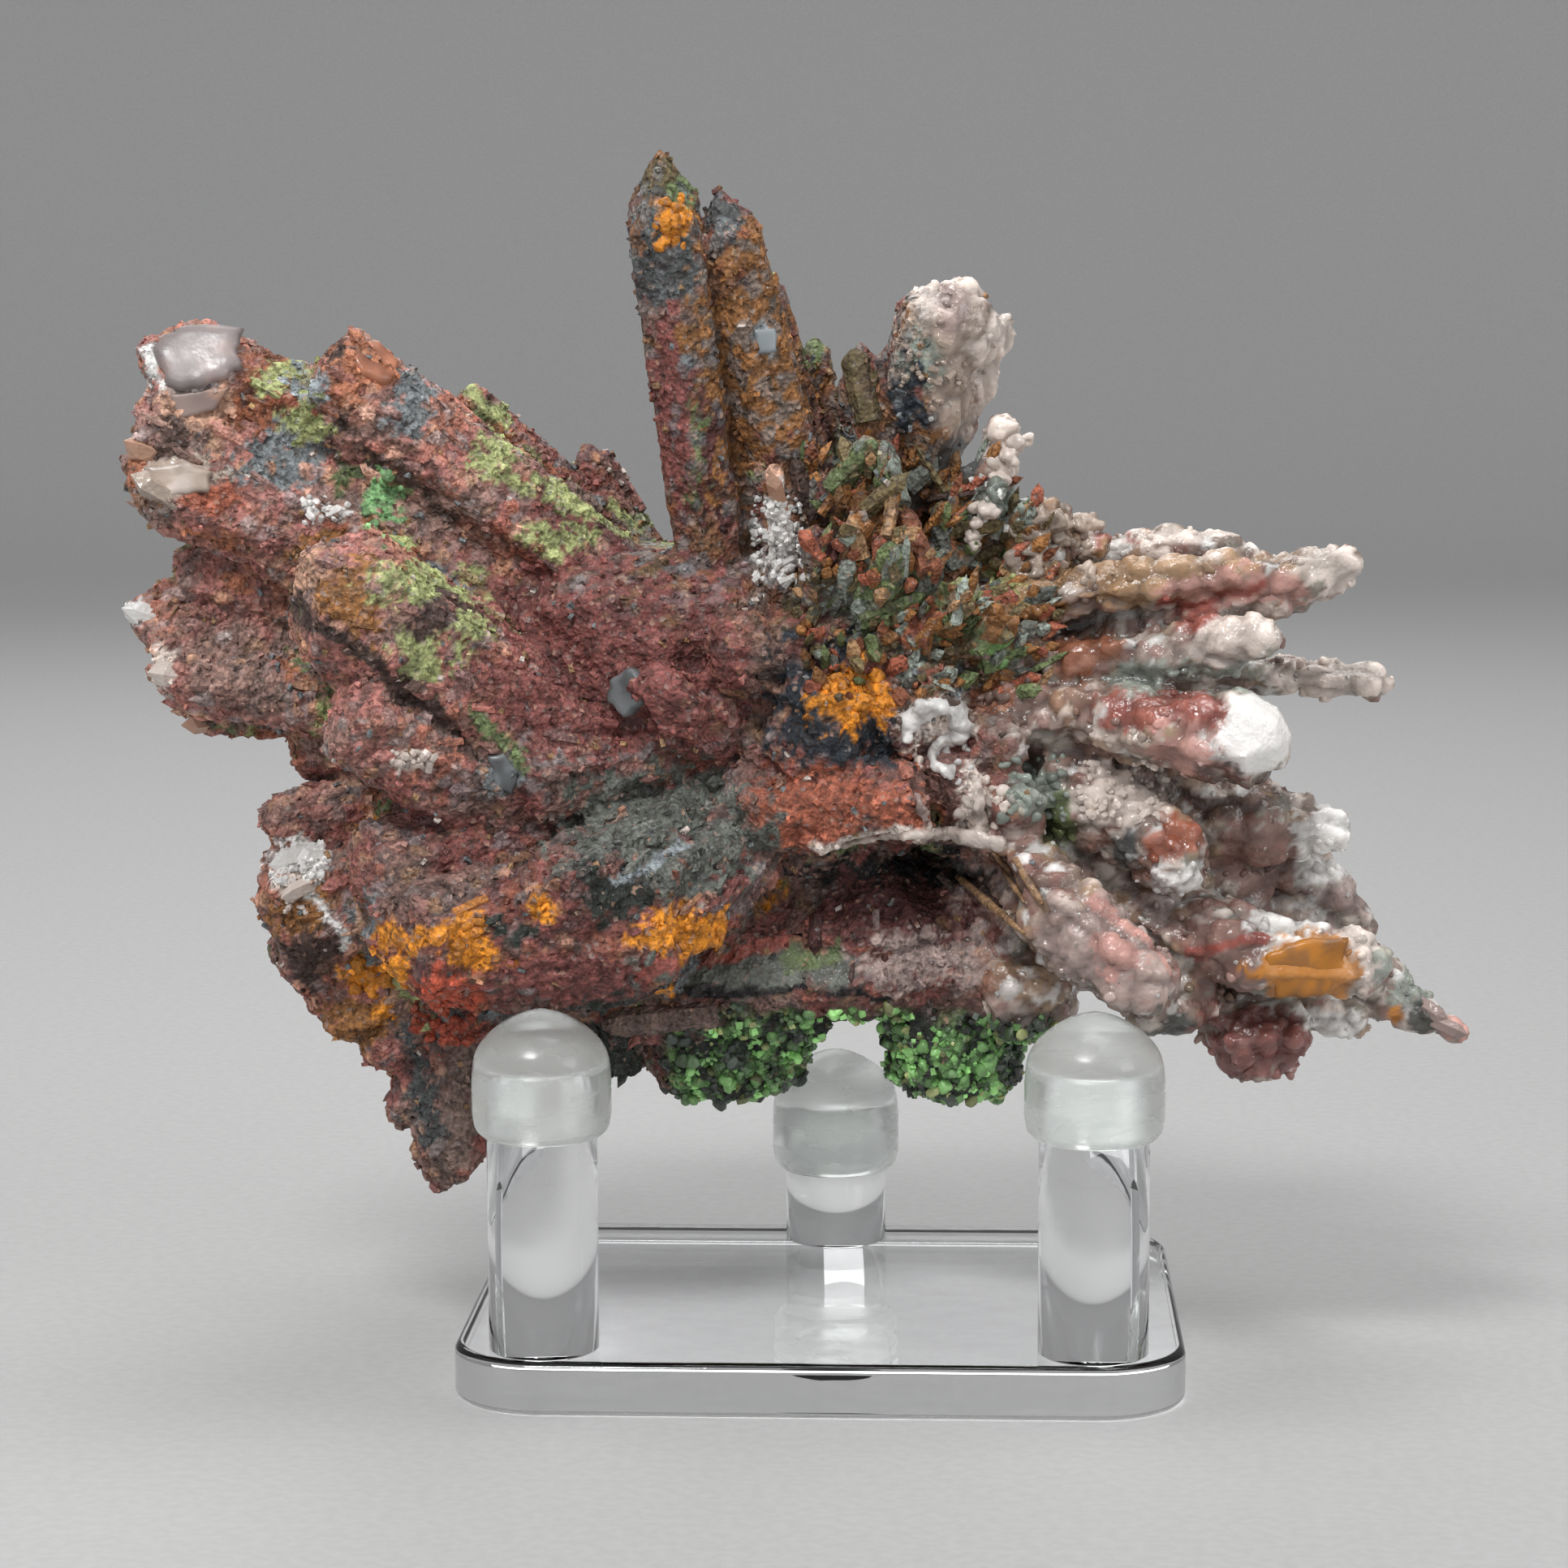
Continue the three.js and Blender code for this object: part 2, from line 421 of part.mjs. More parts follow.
function namedMesh(name, geometry, material) {
  const mesh = new THREE.Mesh(geometry, material);
  mesh.name = name;
  return mesh;
}

const stoneFinish = { color: 0x6f4238, roughness: 0.8, metalness: 0 };
const acrylicFinish = { color: 0xe9edf2, roughness: 0.05, metalness: 0 };
const siliconeFinish = { color: 0xd5dcd4, roughness: 0.35, metalness: 0 };

const part = new THREE.Group();
part.add(namedMesh('cluster', clusterGeometry(), new THREE.MeshStandardMaterial(stoneFinish)));
part.add(namedMesh('stand_plate', plateGeometry(), new THREE.MeshStandardMaterial(acrylicFinish)));
for (const { name, x, y, height, capLength } of pegs) {
  const rod = namedMesh(`${name}_rod`, rodGeometry(height), new THREE.MeshStandardMaterial(acrylicFinish));
  rod.position.set(x, y, 0);
  part.add(rod);
  const soft = new THREE.MeshStandardMaterial(siliconeFinish);
  const cap = namedMesh(`${name}_cap`, capGeometry(capLength), soft);
  cap.rotation.x = Math.PI / 2;
  cap.position.set(x, y, height);
  part.add(cap);
}

export default part;
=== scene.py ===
"""Looks of a quartz cluster that rests on a clear stand with three pegs."""

import math

import bmesh
import bpy
import numpy as np
from mathutils import Matrix, Vector, noise
from mathutils.bvhtree import BVHTree


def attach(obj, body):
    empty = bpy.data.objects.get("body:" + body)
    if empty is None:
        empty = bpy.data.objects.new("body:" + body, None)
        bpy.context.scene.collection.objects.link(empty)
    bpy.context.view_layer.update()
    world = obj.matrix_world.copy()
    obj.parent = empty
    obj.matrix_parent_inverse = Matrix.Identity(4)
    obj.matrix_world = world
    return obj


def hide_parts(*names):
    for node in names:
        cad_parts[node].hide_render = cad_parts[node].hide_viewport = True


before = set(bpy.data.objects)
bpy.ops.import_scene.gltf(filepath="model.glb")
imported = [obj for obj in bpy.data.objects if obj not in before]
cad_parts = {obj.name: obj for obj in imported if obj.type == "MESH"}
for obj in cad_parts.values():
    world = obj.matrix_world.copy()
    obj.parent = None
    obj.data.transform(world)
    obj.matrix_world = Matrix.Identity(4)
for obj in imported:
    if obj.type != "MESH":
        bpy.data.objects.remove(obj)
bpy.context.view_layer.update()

# Shapes are worked out in millimetres and stored in metres.
METRES_PER_MM = 0.001

# Camera, as the photograph was taken: millimetres, degrees and pixels.
IMAGE_SIZE = 1932
FOCAL_PIXELS = 4903.66
SENSOR_WIDTH = 36
EYE = np.array([12.588, -353.688, 97.752])
PITCH, YAW, ROLL = np.radians([7.48, 2.635, -0.181])

# Stone: size of the net's cells, and the planes along X that part it into pieces.
CELL = 0.42
STONE_CUTS = {
    "far_left": (-200, -25.0),
    "left": (-25.0, -5.0),
    "right": (-5.0, 20.0),
    "far_right": (20.0, 200),
}
HUB = np.array([0.0, 0.0, 56.0])

# Widths of the grains in the coat and of the lumps on the fingers, and how many small shapes lie over them.
GRAIN = 1.2
LARGE_LUMP = 3.4
SMALL_LUMP = 1.3
PLATE_COUNT = 8000
BLADE_COUNT = 1000
WAXY_BEAD_COUNT = 900
GLINT_COUNT = 700
MIDDLE_CRYSTAL_COUNT = 260
MIDDLE_CRYSTAL_BOX = (985, 560, 1300, 860)

# Bump of a plain clear material. More than this draws its ripples out level.
PLAIN_BANDING = 0.12

# Stand.
PLATE_SIZE = (63.5, 50.8, 4.76)
PLATE_CORNER = 8.0
PLATE_EDGE = 0.8
ROD_RADIUS = 4.7625
SOCKET_RADIUS = 4.83
CAP_RADIUS = 6.0
CAP_ROOF = 5.0
CAP_DOME = ((0, 0), (1.6, -0.4), (3.2, -1.2), (4.6, -2.3), (5.6, -3.7), (5.95, -5.4), (CAP_RADIUS, -7.0))
TURNED_SIDES = 96
PEGS = {
    "front_left": {"x": -23.65, "y": -20.2, "height": 34.55, "cap": 11.0},
    "front_right": {"x": 23.65, "y": -20.2, "height": 34.55, "cap": 11.0},
    "rear": {"x": 0.25, "y": 19.95, "height": 23.2, "cap": 11.5},
}

COLOURS = {
    "maroon": (132, 72, 66),
    "deep_maroon": (92, 50, 46),
    "dark_brown": (84, 62, 54),
    "rust": (146, 84, 56),
    "ochre": (150, 98, 50),
    "peach": (206, 156, 128),
    "orange_peach": (190, 118, 84),
    "orange": (236, 142, 26),
    "red_orange": (172, 92, 66),
    "grey_blue": (118, 124, 126),
    "pale_blue": (152, 162, 166),
    "dark_grey": (76, 78, 78),
    "black_green": (44, 50, 44),
    "yellow_green": (164, 172, 108),
    "bright_green": (120, 174, 96),
    "moss": (104, 120, 74),
    "mint": (136, 192, 122),
    "bright_red": (200, 84, 56),
    "olive": (104, 90, 58),
    "cream": (224, 208, 196),
    "white": (232, 230, 226),
    "beige": (178, 158, 142),
    "pink": (196, 142, 130),
    "brick": (156, 78, 66),
    "grey_pink": (166, 142, 134),
    "brown_pink": (138, 98, 88),
    "glass_violet": (142, 130, 128),
    "blue_black": (46, 52, 60),
    "tan": (166, 126, 86),
    "metal_grey": (84, 90, 92),
    "grey_green": (140, 150, 138),
    "black": (26, 24, 24),
    "amber": (200, 122, 26),
    "band_grey": (98, 102, 94),
    "grey_brown": (122, 98, 88),
}


def linear(name):
    """A named colour, a little greyed, in linear light."""
    share = np.array(COLOURS[name]) / 255
    share = share + 0.14 * (share.mean() - share)
    return np.where(share <= 0.04045, share / 12.92, ((share + 0.055) / 1.055) ** 2.4)


def smooth_step(low, high, value):
    share = np.clip((value - low) / (high - low), 0, 1)
    return share * share * (3 - 2 * share)


def mixed(first, second, share):
    return first + (second - first) * share[:, None]


def noise_at(points, size, shift=0.0):
    """Perlin noise with features of the given size in millimetres."""
    return np.array([noise.noise(p) for p in (points / size + shift).tolist()])


def layered_noise(points, size, shift=0.0):
    return noise_at(points, size, shift) + 0.5 * noise_at(points, size / 2.1, shift + 7.0)


def ridges_at(points, size, shift=0.0):
    """Sharp crests, from about -1 in the hollows to 1 on the crests."""
    return 1 - 3.2 * np.abs(noise_at(points, size, shift))


def lumps_at(points, size, shift=0.0):
    """Round lumps side by side: height from 0 in the creases to 1 on top, and a number for each lump."""
    found = [noise.voronoi(p) for p in (points / size + shift).tolist()]
    near = np.array([distances[0] for distances, _ in found])
    second = np.array([distances[1] for distances, _ in found])
    middle = np.array([tuple(places[0]) for _, places in found])
    number = np.modf(np.abs(np.sin(middle @ np.array([12.9898, 78.233, 37.719])) * 43758.5453))[0]
    dome = np.sqrt(np.clip(1 - (near / 0.95) ** 2, 0, 1))
    return dome * (0.4 + 0.6 * smooth_step(0.0, 0.3, second - near)), number


def stretched(points):
    """Places drawn out along the lines that run from the hub, so that a pattern follows the crystals."""
    away = points - HUB
    reach = np.linalg.norm(away, axis=1)[:, None]
    return away / reach * (18 + 0.25 * reach) + 0.08 * reach


# Camera ------------------------------------------------------------------------------------------

def camera_axes():
    """Unit vectors to the camera's right, up and ahead."""
    ahead = np.array([-math.sin(YAW) * math.cos(PITCH), math.cos(YAW) * math.cos(PITCH), -math.sin(PITCH)])
    level = np.array([math.cos(YAW), math.sin(YAW), 0.0])
    upright = np.cross(level, ahead)
    right = level * math.cos(ROLL) + upright * math.sin(ROLL)
    top = upright * math.cos(ROLL) - level * math.sin(ROLL)
    return right, top, ahead


RIGHT, TOP, AHEAD = camera_axes()


def to_photo(points):
    """Photograph pixels across and down of points in millimetres, and their depth."""
    away = points - EYE
    depth = away @ AHEAD
    across = IMAGE_SIZE / 2 + FOCAL_PIXELS * (away @ RIGHT) / depth
    down = IMAGE_SIZE / 2 - FOCAL_PIXELS * (away @ TOP) / depth
    return across, down, depth


def photo_ray(across, down):
    """Direction from the eye through a photograph pixel."""
    ray = (AHEAD + RIGHT * (across - IMAGE_SIZE / 2) / FOCAL_PIXELS
           + TOP * (IMAGE_SIZE / 2 - down) / FOCAL_PIXELS)
    return ray / np.linalg.norm(ray)


def show(made):
    """Links an object into the scene."""
    bpy.context.scene.collection.objects.link(made)


def add_camera():
    camera = bpy.data.objects.new("photo_camera", bpy.data.cameras.new("photo_camera"))
    camera.data.sensor_width = SENSOR_WIDTH
    camera.data.lens = SENSOR_WIDTH * FOCAL_PIXELS / IMAGE_SIZE
    place = Matrix((Vector(RIGHT), Vector(TOP), Vector(-AHEAD))).transposed().to_4x4()
    place.translation = Vector(EYE) * METRES_PER_MM
    camera.matrix_world = place
    show(camera)
    bpy.context.scene.camera = camera


# Materials ---------------------------------------------------------------------------------------

class Nodes:
    """A material's node tree, with short calls to add and join nodes."""

    def __init__(self, name):
        self.material = bpy.data.materials.new(name)
        self.material.use_nodes = True
        self.tree = self.material.node_tree
        self.shader = self.tree.nodes["Principled BSDF"]

    def add(self, kind, **settings):
        node = self.tree.nodes.new(kind)
        for key, value in settings.items():
            setattr(node, key, value)
        return node

    def link(self, source, target):
        self.tree.links.new(source, target)

    def attribute(self, name):
        return self.add("ShaderNodeAttribute", attribute_name=name)

    def noise(self, place, scale, detail=3.0):
        node = self.add("ShaderNodeTexNoise")
        node.inputs["Scale"].default_value = scale
        node.inputs["Detail"].default_value = detail
        self.link(place, node.inputs["Vector"])
        return node.outputs["Fac"]

    def ramp(self, source, stops):
        """Eases a value from the range of the first two stops into that of the last two."""
        node = self.add("ShaderNodeMapRange", interpolation_type="SMOOTHSTEP")
        for socket, stop in zip(("From Min", "From Max", "To Min", "To Max"), stops):
            node.inputs[socket].default_value = stop
        self.link(source, node.inputs["Value"])
        return node.outputs["Result"]

    def feed(self, socket, value):
        """Sets a number or colour on a socket, or links an output to it."""
        if isinstance(value, (int, float, tuple)):
            socket.default_value = value
        else:
            self.link(value, socket)

    def maths(self, operation, first, second):
        node = self.add("ShaderNodeMath", operation=operation)
        for socket, value in zip(node.inputs, (first, second)):
            self.feed(socket, value)
        return node.outputs[0]

    def blend(self, share, first, second):
        """A colour between two colours."""
        node = self.add("ShaderNodeMix", data_type="RGBA")
        for number, value in ((0, share), (6, first), (7, second)):
            self.feed(node.inputs[number], value)
        return node.outputs[2]

    def between(self, share, first, second):
        """A number between two numbers."""
        node = self.add("ShaderNodeMix", data_type="FLOAT")
        for number, value in ((0, share), (2, first), (3, second)):
            self.feed(node.inputs[number], value)
        return node.outputs[0]

    def cells(self, place, scale):
        """Voronoi cells, with their distance and colour as outputs."""
        node = self.add("ShaderNodeTexVoronoi")
        node.inputs["Scale"].default_value = scale
        self.link(place, node.inputs["Vector"])
        return node.outputs

    def bump(self, height, strength, distance, under=None):
        node = self.add("ShaderNodeBump")
        node.inputs["Distance"].default_value = distance
        self.feed(node.inputs["Strength"], strength)
        self.link(height, node.inputs["Height"])
        if under is not None:
            self.link(under, node.inputs["Normal"])
        return node.outputs["Normal"]


def stone_material():
    """Painted tint, rough on the coat (waxy 0), glossy on the fingers (1), smooth on clean faces (2)."""
    made = Nodes("stone_coat")
    place = made.add("ShaderNodeTexCoord").outputs["Object"]
    tint = made.attribute("tint").outputs["Color"]
    waxy = made.attribute("waxy").outputs["Fac"]
    gloss = made.attribute("gloss").outputs["Fac"]
    rough_share = made.maths("SUBTRACT", 1.0, waxy)

    cells = made.cells(place, 2600)
    grain = made.add("ShaderNodeSeparateColor")
    made.link(cells["Color"], grain.inputs["Color"])
    fine = made.noise(place, 2600, 4.0)
    broad = made.noise(place, 420, 4.0)

    shade = made.ramp(fine, (0.3, 0.7, 0.7, 1.3))
    wide_shade = made.ramp(broad, (0.3, 0.7, 0.8, 1.2))
    both = made.maths("MULTIPLY", shade, wide_shade)
    scaled = made.add("ShaderNodeVectorMath", operation="SCALE")
    made.link(tint, scaled.inputs[0])
    made.link(made.between(waxy, both, 1.0), scaled.inputs["Scale"])

    dark = made.maths("MULTIPLY", made.ramp(grain.outputs["Red"], (0.16, 0.14, 0.0, 0.5)), rough_share)
    pitted = made.blend(dark, scaled.outputs[0], (*(linear("dark_brown") * 0.45), 1.0))
    light = made.maths("MULTIPLY", made.ramp(grain.outputs["Green"], (0.955, 0.965, 0.0, 0.5)), rough_share)
    cool = made.blend(grain.outputs["Blue"], (*linear("grey_blue"), 1.0), (*linear("peach"), 1.0))
    flecked = made.blend(light, pitted, cool)
    made.link(flecked, made.shader.inputs["Base Color"])

    dull = made.ramp(grain.outputs["Blue"], (0.05, 0.6, 0.4, 0.9))
    roughness = made.between(gloss, dull, made.ramp(broad, (0.3, 0.7, 0.1, 0.28)))
    satin = made.ramp(waxy, (1.0, 2.0, 0.0, 0.14))
    made.link(made.maths("ADD", roughness, satin), made.shader.inputs["Roughness"])

    plates = made.cells(place, 1250)
    calm = made.ramp(waxy, (1.0, 2.0, 1.0, 0.15))
    strong = made.maths("MULTIPLY", made.ramp(waxy, (0.0, 1.0, 0.6, 0.15)), calm)
    slight = made.maths("MULTIPLY", made.ramp(waxy, (0.0, 1.0, 0.45, 0.3)), calm)
    coarse = made.bump(plates["Distance"], strong, 0.0006)
    middle = made.bump(cells["Distance"], strong, 0.0003, coarse)
    made.link(made.bump(fine, slight, 0.00016, middle), made.shader.inputs["Normal"])
    return made.material


def clear_material(name, colour, roughness, ior, clearness, banding=PLAIN_BANDING):
    """Clear solid with faint moulding ripples, which lie level on the soft caps."""
    made = Nodes(name)
    place = made.add("ShaderNodeTexCoord").outputs["Object"]
    drawn = made.add("ShaderNodeVectorMath", operation="MULTIPLY")
    made.link(place, drawn.inputs[0])
    drawn.inputs[1].default_value = (1.0, 1.0, 1.0 + 30 * (banding - PLAIN_BANDING))
    ripple = made.noise(drawn.outputs[0], 160, 1.0)
    made.shader.inputs["Base Color"].default_value = (*colour, 1.0)
    made.shader.inputs["IOR"].default_value = ior
    made.link(made.ramp(ripple, (0.3, 0.7, roughness[0], roughness[1])), made.shader.inputs["Roughness"])
    made.link(made.bump(ripple, banding, 0.0002), made.shader.inputs["Normal"])
    made.shader.inputs["Transmission Weight"].default_value = clearness
    return made.material


# Meshes ------------------------------------------------------------------------------------------

def new_object(name, points, faces, material, smooth=True):
    """A mesh object from points in millimetres."""
    mesh = bpy.data.meshes.new(name)
    mesh.from_pydata((np.asarray(points) * METRES_PER_MM).tolist(), [], faces)
    mesh.validate()
    mesh.polygons.foreach_set("use_smooth", [smooth] * len(mesh.polygons))
    mesh.materials.append(material)
    made = bpy.data.objects.new(name, mesh)
    show(made)
    return made


def paint(made, tint, waxy, gloss):
    """Stores the tint and the two finish masks on a mesh's points."""
    mesh = made.data
    colours = np.ones((len(mesh.vertices), 4))
    colours[:, :3] = tint
    mesh.color_attributes.new("tint", "FLOAT_COLOR", "POINT").data.foreach_set("color", colours.ravel())
    mesh.attributes.new("waxy", "FLOAT", "POINT").data.foreach_set("value", np.asarray(waxy, float))
    mesh.attributes.new("gloss", "FLOAT", "POINT").data.foreach_set("value", np.asarray(gloss, float))


def seat(made, node, slot):
    """Hangs a piece from the root body and hides the frame's node that it stands for. Only the stone casts a
    shadow.
    """
    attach(made, "root")
    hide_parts(node)
    made.visible_shadow = slot == "stone"


def fine_net(node, cell):
    """Points in millimetres and four-sided faces of a fine even net over a node."""
    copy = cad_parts[node].data.copy()
    copy.transform(Matrix.Scale(1 / METRES_PER_MM, 4))
    holder = bpy.data.objects.new("net", copy)
    show(holder)
    remesh = holder.modifiers.new("net", "REMESH")
    remesh.mode = "VOXEL"
    remesh.voxel_size = cell
    made = holder.evaluated_get(bpy.context.evaluated_depsgraph_get()).to_mesh()
    points = np.zeros(len(made.vertices) * 3)
    made.vertices.foreach_get("co", points)
    corners = np.zeros(len(made.loops), int)
    made.loops.foreach_get("vertex_index", corners)
    bpy.data.objects.remove(holder)
    return points.reshape(-1, 3), corners.reshape(-1, 4)


def point_normals(points, faces):
    """Outward direction at each point of a net of four-sided faces."""
    across = points[faces[:, 2]] - points[faces[:, 0]]
    along = points[faces[:, 3]] - points[faces[:, 1]]
    facing = np.cross(across, along)
    total = np.zeros_like(points)
    for corner in range(4):
        np.add.at(total, faces[:, corner], facing)
    return total / np.maximum(np.linalg.norm(total, axis=1), 1e-9)[:, None]


def crevice_shade_share(points, faces, normals, rounds=40):
    """Painted shade: 1 deep in the gaps between crystals, 0 on open faces, below 0 on sharp edges, where the
    tint comes out lighter.
    """
    count = len(points)
    uses = np.bincount(faces.ravel(), minlength=count)
    calm = points.copy()
    for _ in range(rounds):
        middles = calm[faces].mean(axis=1)
        for axis in range(3):
            calm[:, axis] = np.bincount(faces.ravel(), middles[:, axis].repeat(4), count) / uses
    depth = np.sum((calm - points) * normals, axis=1)
    return smooth_step(0.1, 1.0, depth) - 0.4 * smooth_step(-0.3, -1.2, depth)


# Stone -------------------------------------------------------------------------------------------

def waxy_share(points):
    """0 on the coated crystals, 1 on the chalcedony fingers."""
    x, _, z = points.T
    wander = 3.5 * noise_at(points, 9.0, 3.0)
    fingers = smooth_step(12, 20, x + wander + 0.12 * (50 - z) * (z < 50))
    white_lumps = smooth_step(8, 10, x + 0.5 * wander) * smooth_step(76, 80, z + wander)
    return np.clip(np.maximum(fingers, white_lumps), 0, 1)


def green_share(points):
    """1 on the green crusts that hang below."""
    x, _, z = points.T
    wander = 1.5 * noise_at(points, 4.0, 9.0)
    between = smooth_step(-15, -13, x) * smooth_step(21, 19, x)
    return between * smooth_step(33.2, 31.4, z + wander)


def tall_share(points):
    """1 on the tall crystals that stand above the middle."""
    return smooth_step(64, 72, points[:, 2]) * smooth_step(-20, -16, points[:, 0])


def relief(points, waxy, green, glassy):
    """How far each point moves out in millimetres, the painted shade and light on its tint, and the numbers
    of its grain and lumps.
    """
    reach = np.linalg.norm(points - HUB, axis=1)
    hub = smooth_step(34, 22, reach)
    tall = tall_share(points)
    drawn = stretched(points)
    grains, number = lumps_at(points, GRAIN, 4.0)
    fine = noise_at(points, 0.75, 5.0)
    crust = 0.16 * layered_noise(points, 3.4, 1.0) + 0.26 * ridges_at(drawn, 2.4, 2.0)
    crust += ((0.5 - 0.2 * hub) * (grains - 0.6) + 0.14 * fine
              + hub * 0.8 * (ridges_at(points, 6.5, 6.0) - 0.4))
    large, large_number = lumps_at(points, LARGE_LUMP, 8.0)
    small, small_number = lumps_at(points, SMALL_LUMP, 3.0)
    knobbly = smooth_step(-0.25, 0.25, noise_at(points, 9.0, 14.0))
    wax = 0.5 * noise_at(points, 6.5, 6.0) + 0.85 * (large - 0.65) + 0.1 * fine
    wax += (0.1 + 0.34 * knobbly) * (small - 0.6)
    beads = 0.8 * (large - 0.6) + 0.6 * (small - 0.5) + 0.2 * fine
    height = (crust * (1 - 0.45 * tall) * (1 - waxy) + wax * waxy) * (1 - 0.85 * glassy)
    height = height * (1 - green) + beads * green
    # Painted shade and light: the tint is darker in the creases between grains and lumps and lighter on their
    # tops, with some random tone on the coat.
    shade_crust = (0.6 + 0.55 * grains) * (1 + 0.5 * fine)
    shade_wax = (0.5 + 0.6 * large) * (0.72 + 0.38 * small)
    shade = shade_crust * (1 - waxy) + shade_wax * waxy
    shade = shade * (1 - glassy) + glassy
    return height, shade, number, large_number, small_number


# Odd grains in the coat: colour, the range of grain numbers that take it, and how strongly.
GRAIN_COLOURS = (
    ("grey_blue", 0.88, 0.94, 0.5),
    ("peach", 0.95, 0.98, 0.5),
    ("tan", 0.73, 0.8, 0.45),
    ("dark_grey", 0.2, 0.32, 0.5),
    ("red_orange", 0.1, 0.17, 0.3),
    ("black", 0.4, 0.46, 0.5),
)

# The same for the small and the large lumps of the fingers.
SMALL_LUMP_COLOURS = (
    ("cream", 0.72, 0.86, 0.6),
    ("brown_pink", 0.0, 0.16, 0.75),
    ("grey_brown", 0.16, 0.3, 0.6),
    ("white", 0.92, 1.0, 0.7),
    ("tan", 0.34, 0.42, 0.45),
)
LARGE_LUMP_COLOURS = (
    ("tan", 0.3, 0.44, 0.5),
    ("band_grey", 0.66, 0.76, 0.5),
    ("grey_brown", 0.0, 0.2, 0.6),
    ("deep_maroon", 0.2, 0.27, 0.4),
    ("grey_green", 0.5, 0.62, 0.5),
    ("cream", 0.85, 1.0, 0.45),
)


def mottled(tint, number, choices):
    """The tint with its numbered grains recoloured."""
    for colour, first, last, strength in choices:
        tint = mixed(tint, linear(colour), strength * (number > first) * (number < last))
    return tint


def base_tint(points, waxy, green, numbers):
    """Tint of the whole stone before the photograph's own patches."""
    x, _, z = points.T
    number, large_number, small_number = numbers
    drawn = stretched(points)
    broad = layered_noise(points, 8.0, 11.0)
    middle = layered_noise(drawn, 2.6, 12.0)
    small = noise_at(points, 1.1, 13.0)
    coat = mixed(linear("maroon"), linear("grey_brown"), 0.8 * smooth_step(-0.1, 0.5, broad + 0.4 * middle))
    coat = mixed(coat, linear("rust") * 0.9, 0.6 * smooth_step(0.1, 0.5, -broad + 0.6 * small))
    coat = mixed(coat, linear("dark_brown"), 0.6 * smooth_step(0.15, 0.45, middle * 0.6 + small * 0.6))
    tall = smooth_step(60, 72, z) * smooth_step(-22, -16, x)
    coat = mixed(coat, linear("ochre") * 0.9, 0.6 * tall * smooth_step(-0.2, 0.3, middle))
    coat = mixed(coat, linear("olive") * 0.9, 0.6 * tall * smooth_step(0.0, 0.4, -broad))
    lighter = 0.9 * smooth_step(-20, -36, x) * smooth_step(48, 58, z)
    lighter += 0.5 * smooth_step(-32, -42, x) * smooth_step(54, 44, z)
    coat = mixed(mottled(coat, number, GRAIN_COLOURS), linear("grey_brown"), 0.3 * lighter)
    coat = coat * (1.05 + lighter)[:, None]

    reach = np.linalg.norm(points - HUB, axis=1)
    wax = mixed(linear("brown_pink"), linear("beige") * 0.8, smooth_step(16, 36, reach + 14 * middle))
    wax = mixed(wax, linear("pink") * 0.75, 0.5 * smooth_step(0.1, 0.5, broad + 0.3 * small))
    wax = mixed(wax, linear("cream") * 0.8, 0.8 * smooth_step(42, 58, reach + 18 * broad))
    wax = mixed(wax, linear("grey_green") * 0.7, 0.5 * smooth_step(0.1, 0.5, -broad + 0.4 * small))
    wax = mottled(wax, large_number, LARGE_LUMP_COLOURS)
    wax = mottled(wax, small_number, SMALL_LUMP_COLOURS)

    bright = 0.9 * smooth_step(-0.1, 0.4, middle + small)
    hang = mixed(linear("black_green"), linear("bright_green") * 0.75, bright)
    tint = mixed(coat, wax, waxy)
    return mixed(tint, hang, green)


